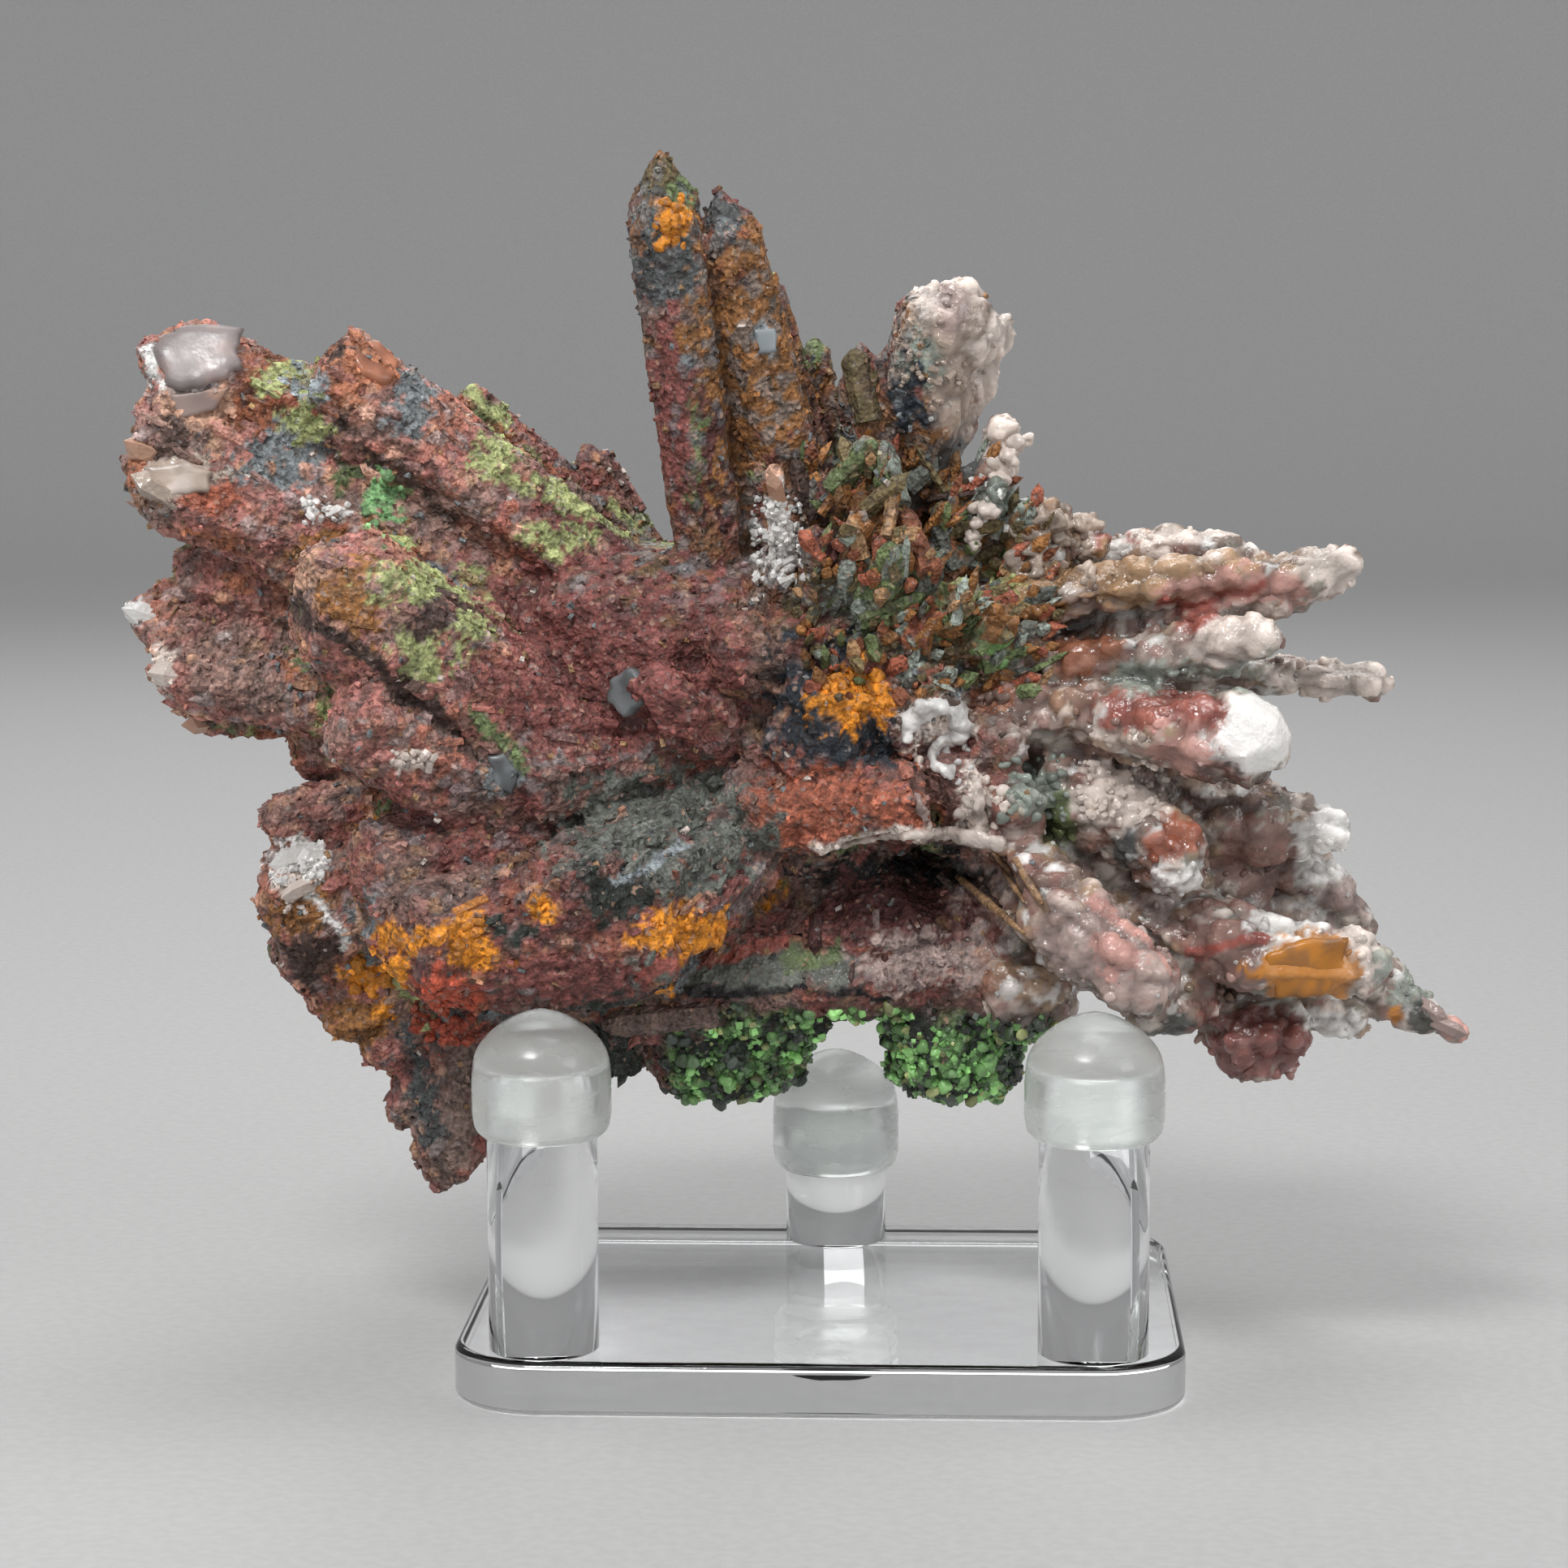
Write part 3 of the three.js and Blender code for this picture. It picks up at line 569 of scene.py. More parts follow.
# The photograph's patches, in its pixels, laid on in this order. An oval is a colour and its box.
OVALS = {
    "olive_middle": ("olive", 985, 560, 1300, 860),
    "ochre_middle": ("ochre", 1010, 600, 1290, 800),
    "grey_green_middle": ("band_grey", 1010, 640, 1220, 800),
    "smoke_in_left_tip": ("glass_violet", 185, 415, 300, 470),
    "peach_under_left_tip": ("peach", 192, 462, 300, 540),
    "grey_in_left_tip": ("glass_violet", 210, 470, 262, 500),
    "pink_edge_left": ("pink", 170, 495, 196, 535),
    "dark_lump_left": ("dark_brown", 185, 528, 240, 572),
    "rust_crust_upper": ("rust", 290, 425, 405, 575),
    "yellow_crust_upper": ("yellow_green", 308, 452, 352, 492),
    "yellow_crust_edge": ("yellow_green", 348, 440, 392, 480),
    "blue_patch_upper": ("pale_blue", 350, 455, 402, 492),
    "yellow_crust_lower": ("yellow_green", 345, 500, 405, 575),
    "blue_patch_large": ("grey_blue", 278, 540, 420, 604),
    "green_pale_patch": ("moss", 408, 565, 452, 612),
    "green_bright_patch": ("mint", 438, 566, 508, 656),
    "lip_left": ("beige", 168, 562, 262, 612),
    "peach_on_lip": ("orange_peach", 160, 562, 186, 612),
    "grains_below_blue": ("white", 372, 606, 402, 630),
    "grains_below_blue_second": ("white", 408, 620, 434, 648),
    "rust_below_lip": ("red_orange", 225, 600, 290, 625),
    "orange_bit": ("red_orange", 395, 642, 420, 662),
    "dark_brown_second_tip": ("dark_brown", 400, 412, 440, 452),
    "peach_second_tip": ("orange_peach", 420, 412, 506, 492),
    "blue_second_tip": ("grey_blue", 482, 452, 532, 528),
    "yellow_stripe_second": ("yellow_green", 585, 535, 640, 590),
    "yellow_by_saddle": ("yellow_green", 655, 640, 730, 690),
    "cream_third_tip": ("peach", 350, 676, 406, 744),
    "ochre_third": ("ochre", 396, 686, 476, 802),
    "yellow_ring_top": ("yellow_green", 458, 690, 600, 750),
    "yellow_ring_right": ("yellow_green", 550, 722, 612, 818),
    "yellow_ring_bottom": ("yellow_green", 490, 758, 552, 808),
    "dark_in_ring": ("dark_brown", 500, 736, 560, 778),
    "yellow_foot": ("yellow_green", 506, 800, 550, 856),
    "blue_third_foot": ("grey_blue", 596, 925, 642, 985),
    "white_fourth_tip": ("white", 153, 732, 180, 776),
    "white_fifth_tip": ("cream", 186, 806, 214, 848),
    "white_sixth_tip": ("peach", 222, 878, 254, 906),
    "orange_bits_fourth": ("orange_peach", 268, 706, 320, 734),
    "orange_bits_fourth_second": ("orange_peach", 226, 652, 276, 674),
    "orange_bits_fifth": ("orange_peach", 348, 812, 384, 842),
    # Painted highlight: cream glints, under small cream quartz points.
    "white_glints_left": ("cream", 478, 920, 534, 948),
    "bright_maroon_hub": ("maroon", 640, 750, 760, 810),
    "blue_diamond": ("grey_blue", 742, 820, 794, 884),
    "maroon_hub": ("maroon", 600, 700, 900, 940),
    "white_quartz_corner": ("white", 333, 1038, 402, 1084),
    "white_quartz_corner_low": ("cream", 344, 1078, 378, 1122),
    "ochre_corner": ("ochre", 336, 1094, 404, 1164),
    "dark_corner": ("dark_brown", 336, 1148, 424, 1206),
    "ochre_corner_edge": ("ochre", 398, 1232, 484, 1292),
    "blue_corner": ("grey_blue", 428, 1106, 468, 1154),
    "red_spike_top": ("bright_red", 498, 1196, 598, 1300),
    "dark_green_grey_low": ("black_green", 596, 1126, 684, 1164),
    "ledge_maroon": ("maroon", 610, 1176, 806, 1240),
    # Painted highlight: a bright green glint.
    "green_glint_low": ("bright_green", 728, 1016, 764, 1052),
    "tall_tip_dark": ("dark_grey", 766, 250, 862, 385),
    "tall_tip_brown": ("olive", 790, 186, 850, 256),
    "tall_tip_green": ("moss", 826, 200, 854, 262),
    "tall_tip_orange": ("orange", 806, 234, 828, 262),
    "tall_tip_orange_low": ("orange", 803, 258, 849, 306),
    "tall_left_maroon": ("maroon", 796, 390, 852, 640),
    "tall_left_stripe": ("ochre", 834, 398, 862, 436),
    "tall_left_blue": ("grey_blue", 838, 442, 858, 462),
    "tall_left_grey_green": ("moss", 850, 466, 890, 624),
    "tall_valley": ("deep_maroon", 858, 345, 914, 640),
    "tall_right_ochre": ("ochre", 868, 262, 1000, 600),
    "tall_right_blue_tip": ("dark_grey", 872, 232, 918, 290),
    "tall_right_square": ("pale_blue", 930, 404, 959, 438),
    "nub_green": ("moss", 984, 412, 1022, 452),
    "third_tall_olive": ("olive", 1034, 424, 1086, 512),
    "third_tall_dark": ("deep_maroon", 1030, 440, 1056, 500),
    "fourth_tall_dark": ("dark_brown", 1080, 430, 1106, 484),
    "green_blade": ("moss", 1022, 540, 1082, 602),
    "green_blade_second": ("moss", 1074, 552, 1118, 618),
    "white_lump_high": ("beige", 1090, 338, 1224, 545),
    "white_lump_top": ("cream", 1100, 334, 1224, 380),
    "white_lump_right": ("cream", 1194, 396, 1252, 520),
    "white_lump_green": ("grey_green", 1108, 424, 1160, 500),
    "white_lump_pink": ("grey_pink", 1148, 352, 1194, 404),
    "white_lump_foot": ("blue_black", 1096, 455, 1150, 560),
    "white_lump_ochre": ("ochre", 1112, 528, 1172, 582),
    "white_lobe": ("cream", 1214, 376, 1260, 474),
    "white_lobe_low": ("cream", 1204, 506, 1286, 602),
    "white_bits_low": ("white", 1198, 588, 1242, 662),
    "grey_green_low": ("grey_green", 1228, 588, 1272, 642),
    "dark_metal": ("metal_grey", 1138, 548, 1204, 602),
    "black_slot": ("black", 1138, 596, 1176, 614),
    "peach_tip_middle": ("peach", 938, 572, 970, 602),
    "white_druse": ("white", 930, 614, 988, 716),
    "maroon_under_druse": ("deep_maroon", 1006, 616, 1054, 692),
    "ochre_blade": ("ochre", 1048, 606, 1078, 702),
    "ochre_blade_second": ("ochre", 1108, 638, 1144, 702),
    "moss_zone": ("moss", 1040, 686, 1190, 780),
    "ochre_zone": ("ochre", 1180, 690, 1300, 800),
    "orange_red_middle": ("red_orange", 1108, 736, 1150, 782),
    "yellow_green_middle": ("yellow_green", 1176, 698, 1268, 738),
    "green_middle": ("bright_green", 1222, 676, 1250, 698),
    "green_middle_low": ("moss", 1152, 756, 1206, 792),
    "green_middle_lower": ("bright_green", 1208, 788, 1244, 824),
    "blue_black_middle": ("blue_black", 958, 785, 1060, 950),
    "blue_black_middle_low": ("blue_black", 1010, 880, 1110, 950),
    "orange_middle": ("orange", 1008, 826, 1100, 892),
    "grey_middle": ("grey_green", 1096, 806, 1144, 854),
    "grey_middle_second": ("grey_blue", 1162, 836, 1204, 882),
    "rust_middle": ("rust", 1198, 842, 1248, 882),
    "white_ring_base": ("cream", 1108, 862, 1192, 932),
    "brown_pink_low": ("brown_pink", 1100, 926, 1202, 1012),
    "cream_lip": ("cream", 1180, 956, 1220, 1040),
    "pale_green_round": ("grey_green", 1246, 946, 1304, 1004),
    "green_round": ("moss", 1288, 972, 1328, 1048),
    "red_block": ("red_orange", 896, 948, 1134, 1050),
    # Painted shade: black in the hollow under the arch's lip.
    "arch_shadow": ("black", 996, 1042, 1234, 1104),
    "arch_floor": ("deep_maroon", 996, 1084, 1204, 1164),
    "grey_green_band": ("band_grey", 690, 950, 936, 1112),
    "dark_by_band": ("black_green", 700, 1060, 800, 1130),
    "prism_grey": ("band_grey", 790, 1164, 1100, 1226),
    "prism_green": ("moss", 972, 1164, 1034, 1202),
    "prism_grey_right": ("grey_pink", 1060, 1150, 1200, 1220),
    "bar_brown": ("dark_brown", 738, 1230, 884, 1278),
    "underside_black": ("black_green", 700, 1236, 802, 1350),
    "finger_one_cream": ("cream", 1352, 642, 1560, 704),
    "finger_one_red": ("brick", 1350, 652, 1404, 694),
    "finger_two": ("tan", 1262, 676, 1566, 742),
    "finger_three_pink": ("pink", 1440, 700, 1614, 756),
    "finger_three_tip": ("cream", 1596, 662, 1684, 738),
    "finger_four_red": ("brick", 1444, 744, 1506, 786),
    "finger_four_white": ("cream", 1466, 768, 1566, 824),
    "finger_four_tip": ("cream", 1508, 746, 1586, 804),
    "finger_five_grey": ("grey_green", 1436, 816, 1566, 854),
    "finger_five_tip": ("cream", 1556, 806, 1720, 874),
    "finger_six_red": ("brick", 1350, 846, 1522, 904),
    "finger_six_pink": ("pink", 1404, 892, 1530, 968),
    "finger_six_white": ("white", 1504, 846, 1594, 956),
    "finger_seven": ("dark_brown", 1436, 946, 1584, 1004),
    "finger_eight": ("brown_pink", 1496, 996, 1606, 1114),
    "finger_eight_white": ("white", 1594, 982, 1670, 1104),
    "finger_eight_low": ("grey_pink", 1604, 1096, 1686, 1156),
    "finger_nine_rust": ("red_orange", 1414, 1006, 1486, 1066),
    "finger_nine_white": ("white", 1416, 1062, 1486, 1120),
    "finger_nine_metal": ("metal_grey", 1362, 1016, 1404, 1064),
    "finger_ten": ("grey_pink", 1292, 1076, 1466, 1256),
    "finger_ten_pink": ("pink", 1346, 1146, 1406, 1204),
    "finger_eleven_grey": ("brown_pink", 1446, 1126, 1556, 1234),
    "finger_eleven_white": ("white", 1546, 1116, 1626, 1164),
    "finger_eleven_end": ("cream", 1640, 1130, 1706, 1232),
    "finger_eleven_orange": ("amber", 1552, 1156, 1664, 1234),
    "finger_twelve": ("grey_green", 1694, 1166, 1766, 1254),
    "finger_twelve_notch": ("black_green", 1732, 1242, 1774, 1278),
    "finger_twelve_tip": ("pink", 1768, 1252, 1816, 1294),
    "finger_twelve_orange": ("orange", 1702, 1242, 1728, 1262),
    "druse_thirteen": ("cream", 1326, 936, 1434, 1014),
    "jagged_fourteen": ("maroon", 1460, 1236, 1620, 1334),
    "white_fifteen": ("white", 1612, 1242, 1684, 1288),
    "dark_sixteen": ("black_green", 1402, 1246, 1474, 1288),
    "orange_brown_root": ("rust", 1296, 776, 1374, 834),
    "grey_beads_root": ("grey_green", 1372, 806, 1444, 854),
}

# How smooth and glassy some of the ovals are.
GLASSY = {
    "smoke_in_left_tip": 1.0,
    "lip_left": 1.0,
    "finger_eleven_orange": 1.0,
    "finger_six_white": 1.0,
    "prism_grey": 0.45,
}

# Boxes of the orange blobs, laid on last.
ORANGE_BLOBS = {
    "corner": (430, 1172, 498, 1228),
    "corner_upper": (458, 1138, 532, 1182),
    "corner_right": (538, 1132, 612, 1188),
    "ledge": (652, 1098, 688, 1142),
    "ledge_long": (778, 1124, 898, 1182),
    "corner_drop": (458, 1232, 492, 1262),
}

# Streaks: colour, width, and the line they follow.
STREAKS = {
    # Painted highlight: a white glint along the left edge of the smoky tip.
    "glint_left_tip": ("white", 8, ((178, 428), (200, 476))),
    "orange_stripe_upper": ("red_orange", 12, ((322, 488), (360, 500))),
    "yellow_stripe_slope": ("yellow_green", 22, ((560, 470), (590, 500), (622, 512))),
    "yellow_slope_low": ("yellow_green", 34, ((640, 590), (720, 625), (792, 652))),
    "dark_facet_edge": ("dark_brown", 16, ((408, 508), (480, 575), (562, 642))),
    "dark_third_edge": ("dark_brown", 20, ((352, 744), (440, 800), (530, 872), (592, 932))),
    "green_third_trail": ("moss", 22, ((585, 872), (612, 905), (640, 944))),
    "white_corner_streak": ("white", 11, ((366, 1094), (398, 1130), (428, 1164))),
    # Painted highlight: bluish glints along the band.
    "glint_band": ("pale_blue", 12, ((756, 1082), (800, 1062), (848, 1034))),
    "spike_dark": ("dark_grey", 26, ((505, 1270), (520, 1340), (535, 1400))),
    "spike_maroon": ("grey_brown", 36, ((575, 1290), (565, 1380), (548, 1462))),
    "prism_red_stripe": ("brick", 16, ((786, 1198), (880, 1186), (972, 1162))),
    # Painted shade: a black line in the gap under the grey prism.
    "prism_shadow_line": ("black", 8, ((790, 1224), (940, 1222), (1090, 1226))),
    "crack_middle": ("black", 14, ((1000, 800), (1045, 782), (1092, 778))),
    "crack_right": ("dark_brown", 12, ((1248, 790), (1290, 782), (1332, 770))),
    "arch_lip": ("cream", 12, ((1010, 1040), (1080, 1032), (1150, 1026), (1240, 1040))),
    "finger_eleven_red": ("brick", 14, ((1468, 1176), (1510, 1166), (1552, 1162))),
    "finger_three_red": ("brick", 16, ((1440, 750), (1500, 735), (1560, 718))),
    "finger_ten_red": ("pink", 9, ((1340, 1110), (1400, 1150), (1440, 1200))),
}


def oval_cover(box, across, down):
    """How far inside an oval's rim each place is, in pixels, and below 0 outside it."""
    left, top, right, bottom = box
    from_middle = ((across - (left + right) / 2) / ((right - left) / 2)) ** 2
    from_middle += ((down - (top + bottom) / 2) / ((bottom - top) / 2)) ** 2
    return (1 - np.sqrt(from_middle)) * min(right - left, bottom - top) / 2


def streak_cover(line, width, across, down):
    """How far inside a streak's edge each place is, in pixels, and below 0 outside it."""
    nearest = np.full(len(across), 1e9)
    for (x0, y0), (x1, y1) in zip(line, line[1:]):
        run = np.array([x1 - x0, y1 - y0])
        share = ((across - x0) * run[0] + (down - y0) * run[1]) / (run @ run)
        share = np.clip(share, 0, 1)
        gap = np.hypot(across - x0 - share * run[0], down - y0 - share * run[1])
        nearest = np.minimum(nearest, gap)
    return width / 2 - nearest


def front_share(points, tolerance=4.0):
    """1 on the side that the camera sees, 0 behind it."""
    across, down, depth = to_photo(points)
    cell = 10
    size = IMAGE_SIZE // cell + 2
    column = np.clip(across / cell, 0, size - 1).astype(int)
    row = np.clip(down / cell, 0, size - 1).astype(int)
    nearest = np.full((size, size), 1e9)
    np.minimum.at(nearest, (row, column), depth)
    spread = nearest.copy()
    for shift in (-1, 1):
        spread = np.minimum(spread, np.roll(nearest, shift, 0))
        spread = np.minimum(spread, np.roll(nearest, shift, 1))
    return smooth_step(tolerance + 2, tolerance, depth - spread[row, column])


def whole_grains(chance, doubt):
    """1 on the grains that a patch takes: those whose doubt is under the chance."""
    return smooth_step(-0.07, 0.07, np.clip(chance, 0, 0.94) - doubt)


def patch_share(cover, spread, doubt):
    """Share of a patch on each point: all grains in its middle, and fewer towards its edge."""
    return whole_grains(0.5 + 0.5 * cover / spread, doubt) * (cover > -spread)


def oval_spread(box):
    """How far an oval's ragged rim reaches, in pixels."""
    return 0.36 * min(box[2] - box[0], box[3] - box[1])


def glassy_share(points):
    """1 on the faces that are clean and glassy."""
    across, down, _ = to_photo(points)
    share = np.zeros(len(points))
    for name, strength in GLASSY.items():
        box = OVALS[name][1:]
        share = np.maximum(share, strength * smooth_step(-3, 5, oval_cover(box, across, down)))
    return share * front_share(points)


def paint_patches(points, tint, waxy, glassy):
    """Lays the photograph's patches over the side that it shows."""
    across, down, _ = to_photo(points)
    drawn = stretched(points)
    coarse_grain = lumps_at(points, 1.15, 31.0)[1]
    fine_grain = lumps_at(points, 0.8, 37.0)[1]
    doubt = 0.5 * coarse_grain + 0.38 * fine_grain + 0.06 + 0.3 * noise_at(drawn, 2.6, 21.0)
    calm = 0.5 + 0.22 * noise_at(points, 1.2, 22.0)
    even = np.maximum(0.45 * waxy, 0.8 * glassy)
    fray = doubt * (1 - even) + calm * even
    across = across + 16 * noise_at(points, 3.4, 25.0)
    down = down + 16 * noise_at(points, 3.4, 26.0)
    facing = front_share(points)
    for colour, *box in OVALS.values():
        left, top, right, bottom = box
        near = (across > left - 25) & (across < right + 25) & (down > top - 25) & (down < bottom + 25)
        cover = oval_cover(box, across[near], down[near])
        share = patch_share(cover, oval_spread(box), fray[near]) * facing[near] * (1 - 0.12 * waxy[near])
        tint[near] = mixed(tint[near], linear(colour), share)
    for colour, width, line in STREAKS.values():
        share = patch_share(streak_cover(line, width, across, down), width * 0.4, fray) * facing
        tint = mixed(tint, linear(colour), share)
    for box in ORANGE_BLOBS.values():
        share = patch_share(oval_cover(box, across, down), oval_spread(box), fray) * facing
        tint = mixed(tint, linear("orange"), share)
    return tint


# Patches on the side that the photograph hides, like those on the side it shows: colour, size, place in the
# noise, and how rare.
HIDDEN_PATCHES = (
    ("rust", 9.0, 61.0, 0.05),
    ("grey_brown", 8.0, 62.0, 0.05),
    ("yellow_green", 7.0, 63.0, 0.36),
    ("grey_blue", 6.5, 64.0, 0.34),
    ("ochre", 8.0, 65.0, 0.4),
    ("moss", 6.0, 66.0, 0.42),
    ("orange", 5.5, 67.0, 0.66),
    ("peach", 5.0, 68.0, 0.46),
)


def paint_hidden_side(points, tint, waxy, green):
    """Lays patches of the same kinds over the side that the photograph doesn't show."""
    hidden = (1 - front_share(points)) * (1 - waxy) * (1 - green)
    doubt = lumps_at(points, 1.1, 71.0)[1]
    for colour, size, shift, rare in HIDDEN_PATCHES:
        cover = layered_noise(points, size, shift) - rare
        share = whole_grains(0.5 + 2.2 * cover, doubt) * (cover > -0.2)
        tint = mixed(tint, linear(colour), share * hidden)
    return tint


def cut_part(whole, low, high):
    """A closed part of a mesh between two planes across X."""
    made = bmesh.new()
    made.from_mesh(whole)
    for place, side in ((low, -1), (high, 1)):
        everything = made.verts[:] + made.edges[:] + made.faces[:]
        cut = bmesh.ops.bisect_plane(made, geom=everything, dist=1e-7, plane_co=(place * METRES_PER_MM, 0, 0),
                                     plane_no=(side, 0, 0), clear_outer=True)
        rim = [item for item in cut["geom_cut"] if isinstance(item, bmesh.types.BMEdge)]
        if rim:
            bmesh.ops.triangle_fill(made, use_beauty=False, use_dissolve=False, edges=rim,
                                    normal=(side, 0, 0))
    part = whole.copy()
    made.to_mesh(part)
    made.free()
    return part


def build_stone(material):
    """The painted stone in closed parts, and what the small shapes need to know of it."""
    points, faces = fine_net("cluster", CELL)
    normals = point_normals(points, faces)
    waxy = waxy_share(points)
    green = green_share(points)
    glassy = glassy_share(points)
    height, shade, *numbers = relief(points, waxy, green, glassy)
    moved = points + normals * height[:, None]
    tint = paint_patches(moved, base_tint(points, waxy, green, numbers), waxy, glassy)
    tint = paint_hidden_side(moved, tint, waxy, green)
    speckled = tall_share(points) * (1 - waxy) * (numbers[0] > 0.76)
    tint = mixed(tint, linear("grey_blue") * 0.85, 0.6 * speckled)
    # Painted shade: the tint is darkened in creases and in the gaps between crystals, and lightened on lump
    # tops and sharp edges.
    crevice_shade = crevice_shade_share(points, faces, normals)
    tint = tint * (shade * (1 - (0.42 + 0.2 * waxy) * crevice_shade))[:, None]
    finish = np.maximum(waxy, glassy)
    whole = new_object("stone_whole", moved, faces.tolist(), material)
    paint(whole, tint, finish, finish)
    facing = whole.data.attributes.new("facing", "FLOAT_VECTOR", "POINT")
    facing.data.foreach_set("vector", point_normals(moved, faces).ravel())
    for name, (low, high) in STONE_CUTS.items():
        part = cut_part(whole.data, low, high)
        made = bpy.data.objects.new(f"stone_{name}", part)
        show(made)
        kept = np.zeros(len(part.vertices) * 3)
        part.attributes["facing"].data.foreach_get("vector", kept)
        part.normals_split_custom_set_from_vertices(kept.reshape(-1, 3).tolist())
        part.attributes.remove(part.attributes["facing"])
        seat(made, "cluster", "stone")
    bpy.data.objects.remove(whole)
    return {
        "points": moved,
        "faces": faces,
        "normals": normals,
        "tint": tint,
        "waxy": waxy,
        "green": green,
        "glassy": glassy,
    }


# Grains and small crystals -------------------------------------------------------------------------

BLOCK = np.array([(x, y, z) for x in (-1, 1) for y in (-1, 1) for z in (-1, 1)], float)
BLOCK[4:] *= (1.0, 0.72, 0.8)
BLOCK_FACES = np.array([(0, 1, 3), (0, 3, 2), (4, 6, 7), (4, 7, 5), (0, 4, 5), (0, 5, 1),
                        (2, 3, 7), (2, 7, 6), (0, 2, 6), (0, 6, 4), (1, 5, 7), (1, 7, 3)])


def quartz_point():
    """Points and triangles of a six-sided crystal along Z, from -1 to its tip at 1."""
    turns = [(math.cos(math.pi * k / 3), math.sin(math.pi * k / 3)) for k in range(6)]
    points = [(x, y, -1.0) for x, y in turns]
    points += [(x, y, 0.35 + 0.2 * (k % 2)) for k, (x, y) in enumerate(turns)]
    points += [(0.12, 0.0, 1.0), (0.0, 0.0, -1.0)]
    faces = []
    for k in range(6):
        after = (k + 1) % 6
        faces += [(k, after, after + 6), (k, after + 6, k + 6), (k + 6, after + 6, 12), (after, k, 13)]
    return np.array(points), np.array(faces)


def ball(levels):
    """Points and triangles of a small round bead."""
    made = bmesh.new()
    bmesh.ops.create_icosphere(made, subdivisions=levels, radius=1)
    points = np.array([tuple(v.co) for v in made.verts])
    faces = np.array([[v.index for v in f.verts] for f in made.faces])
    made.free()
    return points, faces


def stands(axes, chance):
    """Matrices whose third column is each axis, turned about it at random."""
    third = axes / np.linalg.norm(axes, axis=1)[:, None]
    other = chance.normal(size=third.shape)
    first = np.cross(other, third)
    first /= np.linalg.norm(first, axis=1)[:, None]
    return np.stack([first, np.cross(third, first), third], axis=2)


def finish_on_stone(made, tint, waxy, gloss):
    """Paints a whole piece with one finish and counts it as part of the stone."""
    count = len(made.data.vertices)
    paint(made, tint, np.full(count, waxy), np.full(count, gloss))
    seat(made, "cluster", "stone")


def scatter(name, shape, places, axes, sizes, tints, finish, chance, smooth=False, knobs=0.0):
    """Many small closed shapes as one piece, each with its place, axis, three half widths and tint."""
    corners, sides = shape
    material, waxy = finish
    turns = stands(axes, chance)
    points = np.einsum("nij,nkj->nki", turns, corners[None] * sizes[:, None, :])
    if knobs:
        uneven = noise_at((points + places[:, None, :]).reshape(-1, 3), 0.8, 55.0).reshape(points.shape[:2])
        points = points * (1 + knobs * uneven)[:, :, None]
    points = points + places[:, None, :]
    faces = sides[None] + (np.arange(len(places)) * len(corners))[:, None, None]
    made = new_object(name, points.reshape(-1, 3), faces.reshape(-1, 3).tolist(), material, smooth)
    finish_on_stone(made, np.repeat(tints, len(corners), axis=0), waxy, waxy)


def scatter_points(name, crystals, finish, chance):
    """Quartz points as one piece, from a list with each one's place, axis, half widths and tint."""
    scatter(name, quartz_point(), *(np.array(part) for part in zip(*crystals)), finish, chance)


def pick_places(weights, count, chance):
    """Numbers of stone points, drawn with the given weights."""
    return chance.choice(len(weights), size=count, replace=False, p=weights / weights.sum())


def build_grains(stone, material):
    """Small plates that lie on the coat, and blades that follow the crystals from the hub."""
    chance = np.random.default_rng(7)
    coat = (1 - stone["waxy"]) * (1 - stone["green"]) * (1 - stone["glassy"])
    picked = pick_places(coat + 0.01, PLATE_COUNT, chance)
    normals = stone["normals"][picked]
    sizes = chance.uniform((0.16, 0.12, 0.09), (0.42, 0.32, 0.22), (len(picked), 3))
    tints = stone["tint"][picked] * chance.uniform(0.6, 1.5, (len(picked), 1))
    kinds = chance.random(len(picked))
    tints[kinds < 0.06] = linear("grey_blue")
    tints[(kinds > 0.06) & (kinds < 0.11)] = linear("tan") * 0.9
    tints[(kinds > 0.11) & (kinds < 0.13)] = linear("cream") * 0.8
    axes = normals + 0.55 * chance.normal(size=normals.shape)
    places = stone["points"][picked]
    scatter("crust_plates", (BLOCK, BLOCK_FACES), places, axes, sizes, tints, (material, 0.0), chance)

    away = stone["points"] - HUB
    away /= np.linalg.norm(away, axis=1)[:, None]
    steepness = np.abs(np.sum(away * stone["normals"], axis=1))
    weights = coat * smooth_step(0.6, 0.25, steepness) * (1 - 0.8 * tall_share(stone["points"]))
    picked = pick_places(weights + 1e-7, BLADE_COUNT, chance)
    axes = away[picked] + 0.12 * stone["normals"][picked] + 0.1 * chance.normal(size=(len(picked), 3))
    width = chance.uniform(0.3, 0.8, len(picked))
    thick = width * chance.uniform(0.6, 1.0, len(picked))
    sizes = np.stack([width, thick, chance.uniform(0.9, 2.0, len(picked))], axis=1)
    places = stone["points"][picked] - stone["normals"][picked] * (width * 0.55)[:, None]
    tints = stone["tint"][picked] * chance.uniform(0.75, 1.25, (len(picked), 1))
    scatter("crust_blades", quartz_point(), places, axes, sizes, tints, (material, 0.0), chance)


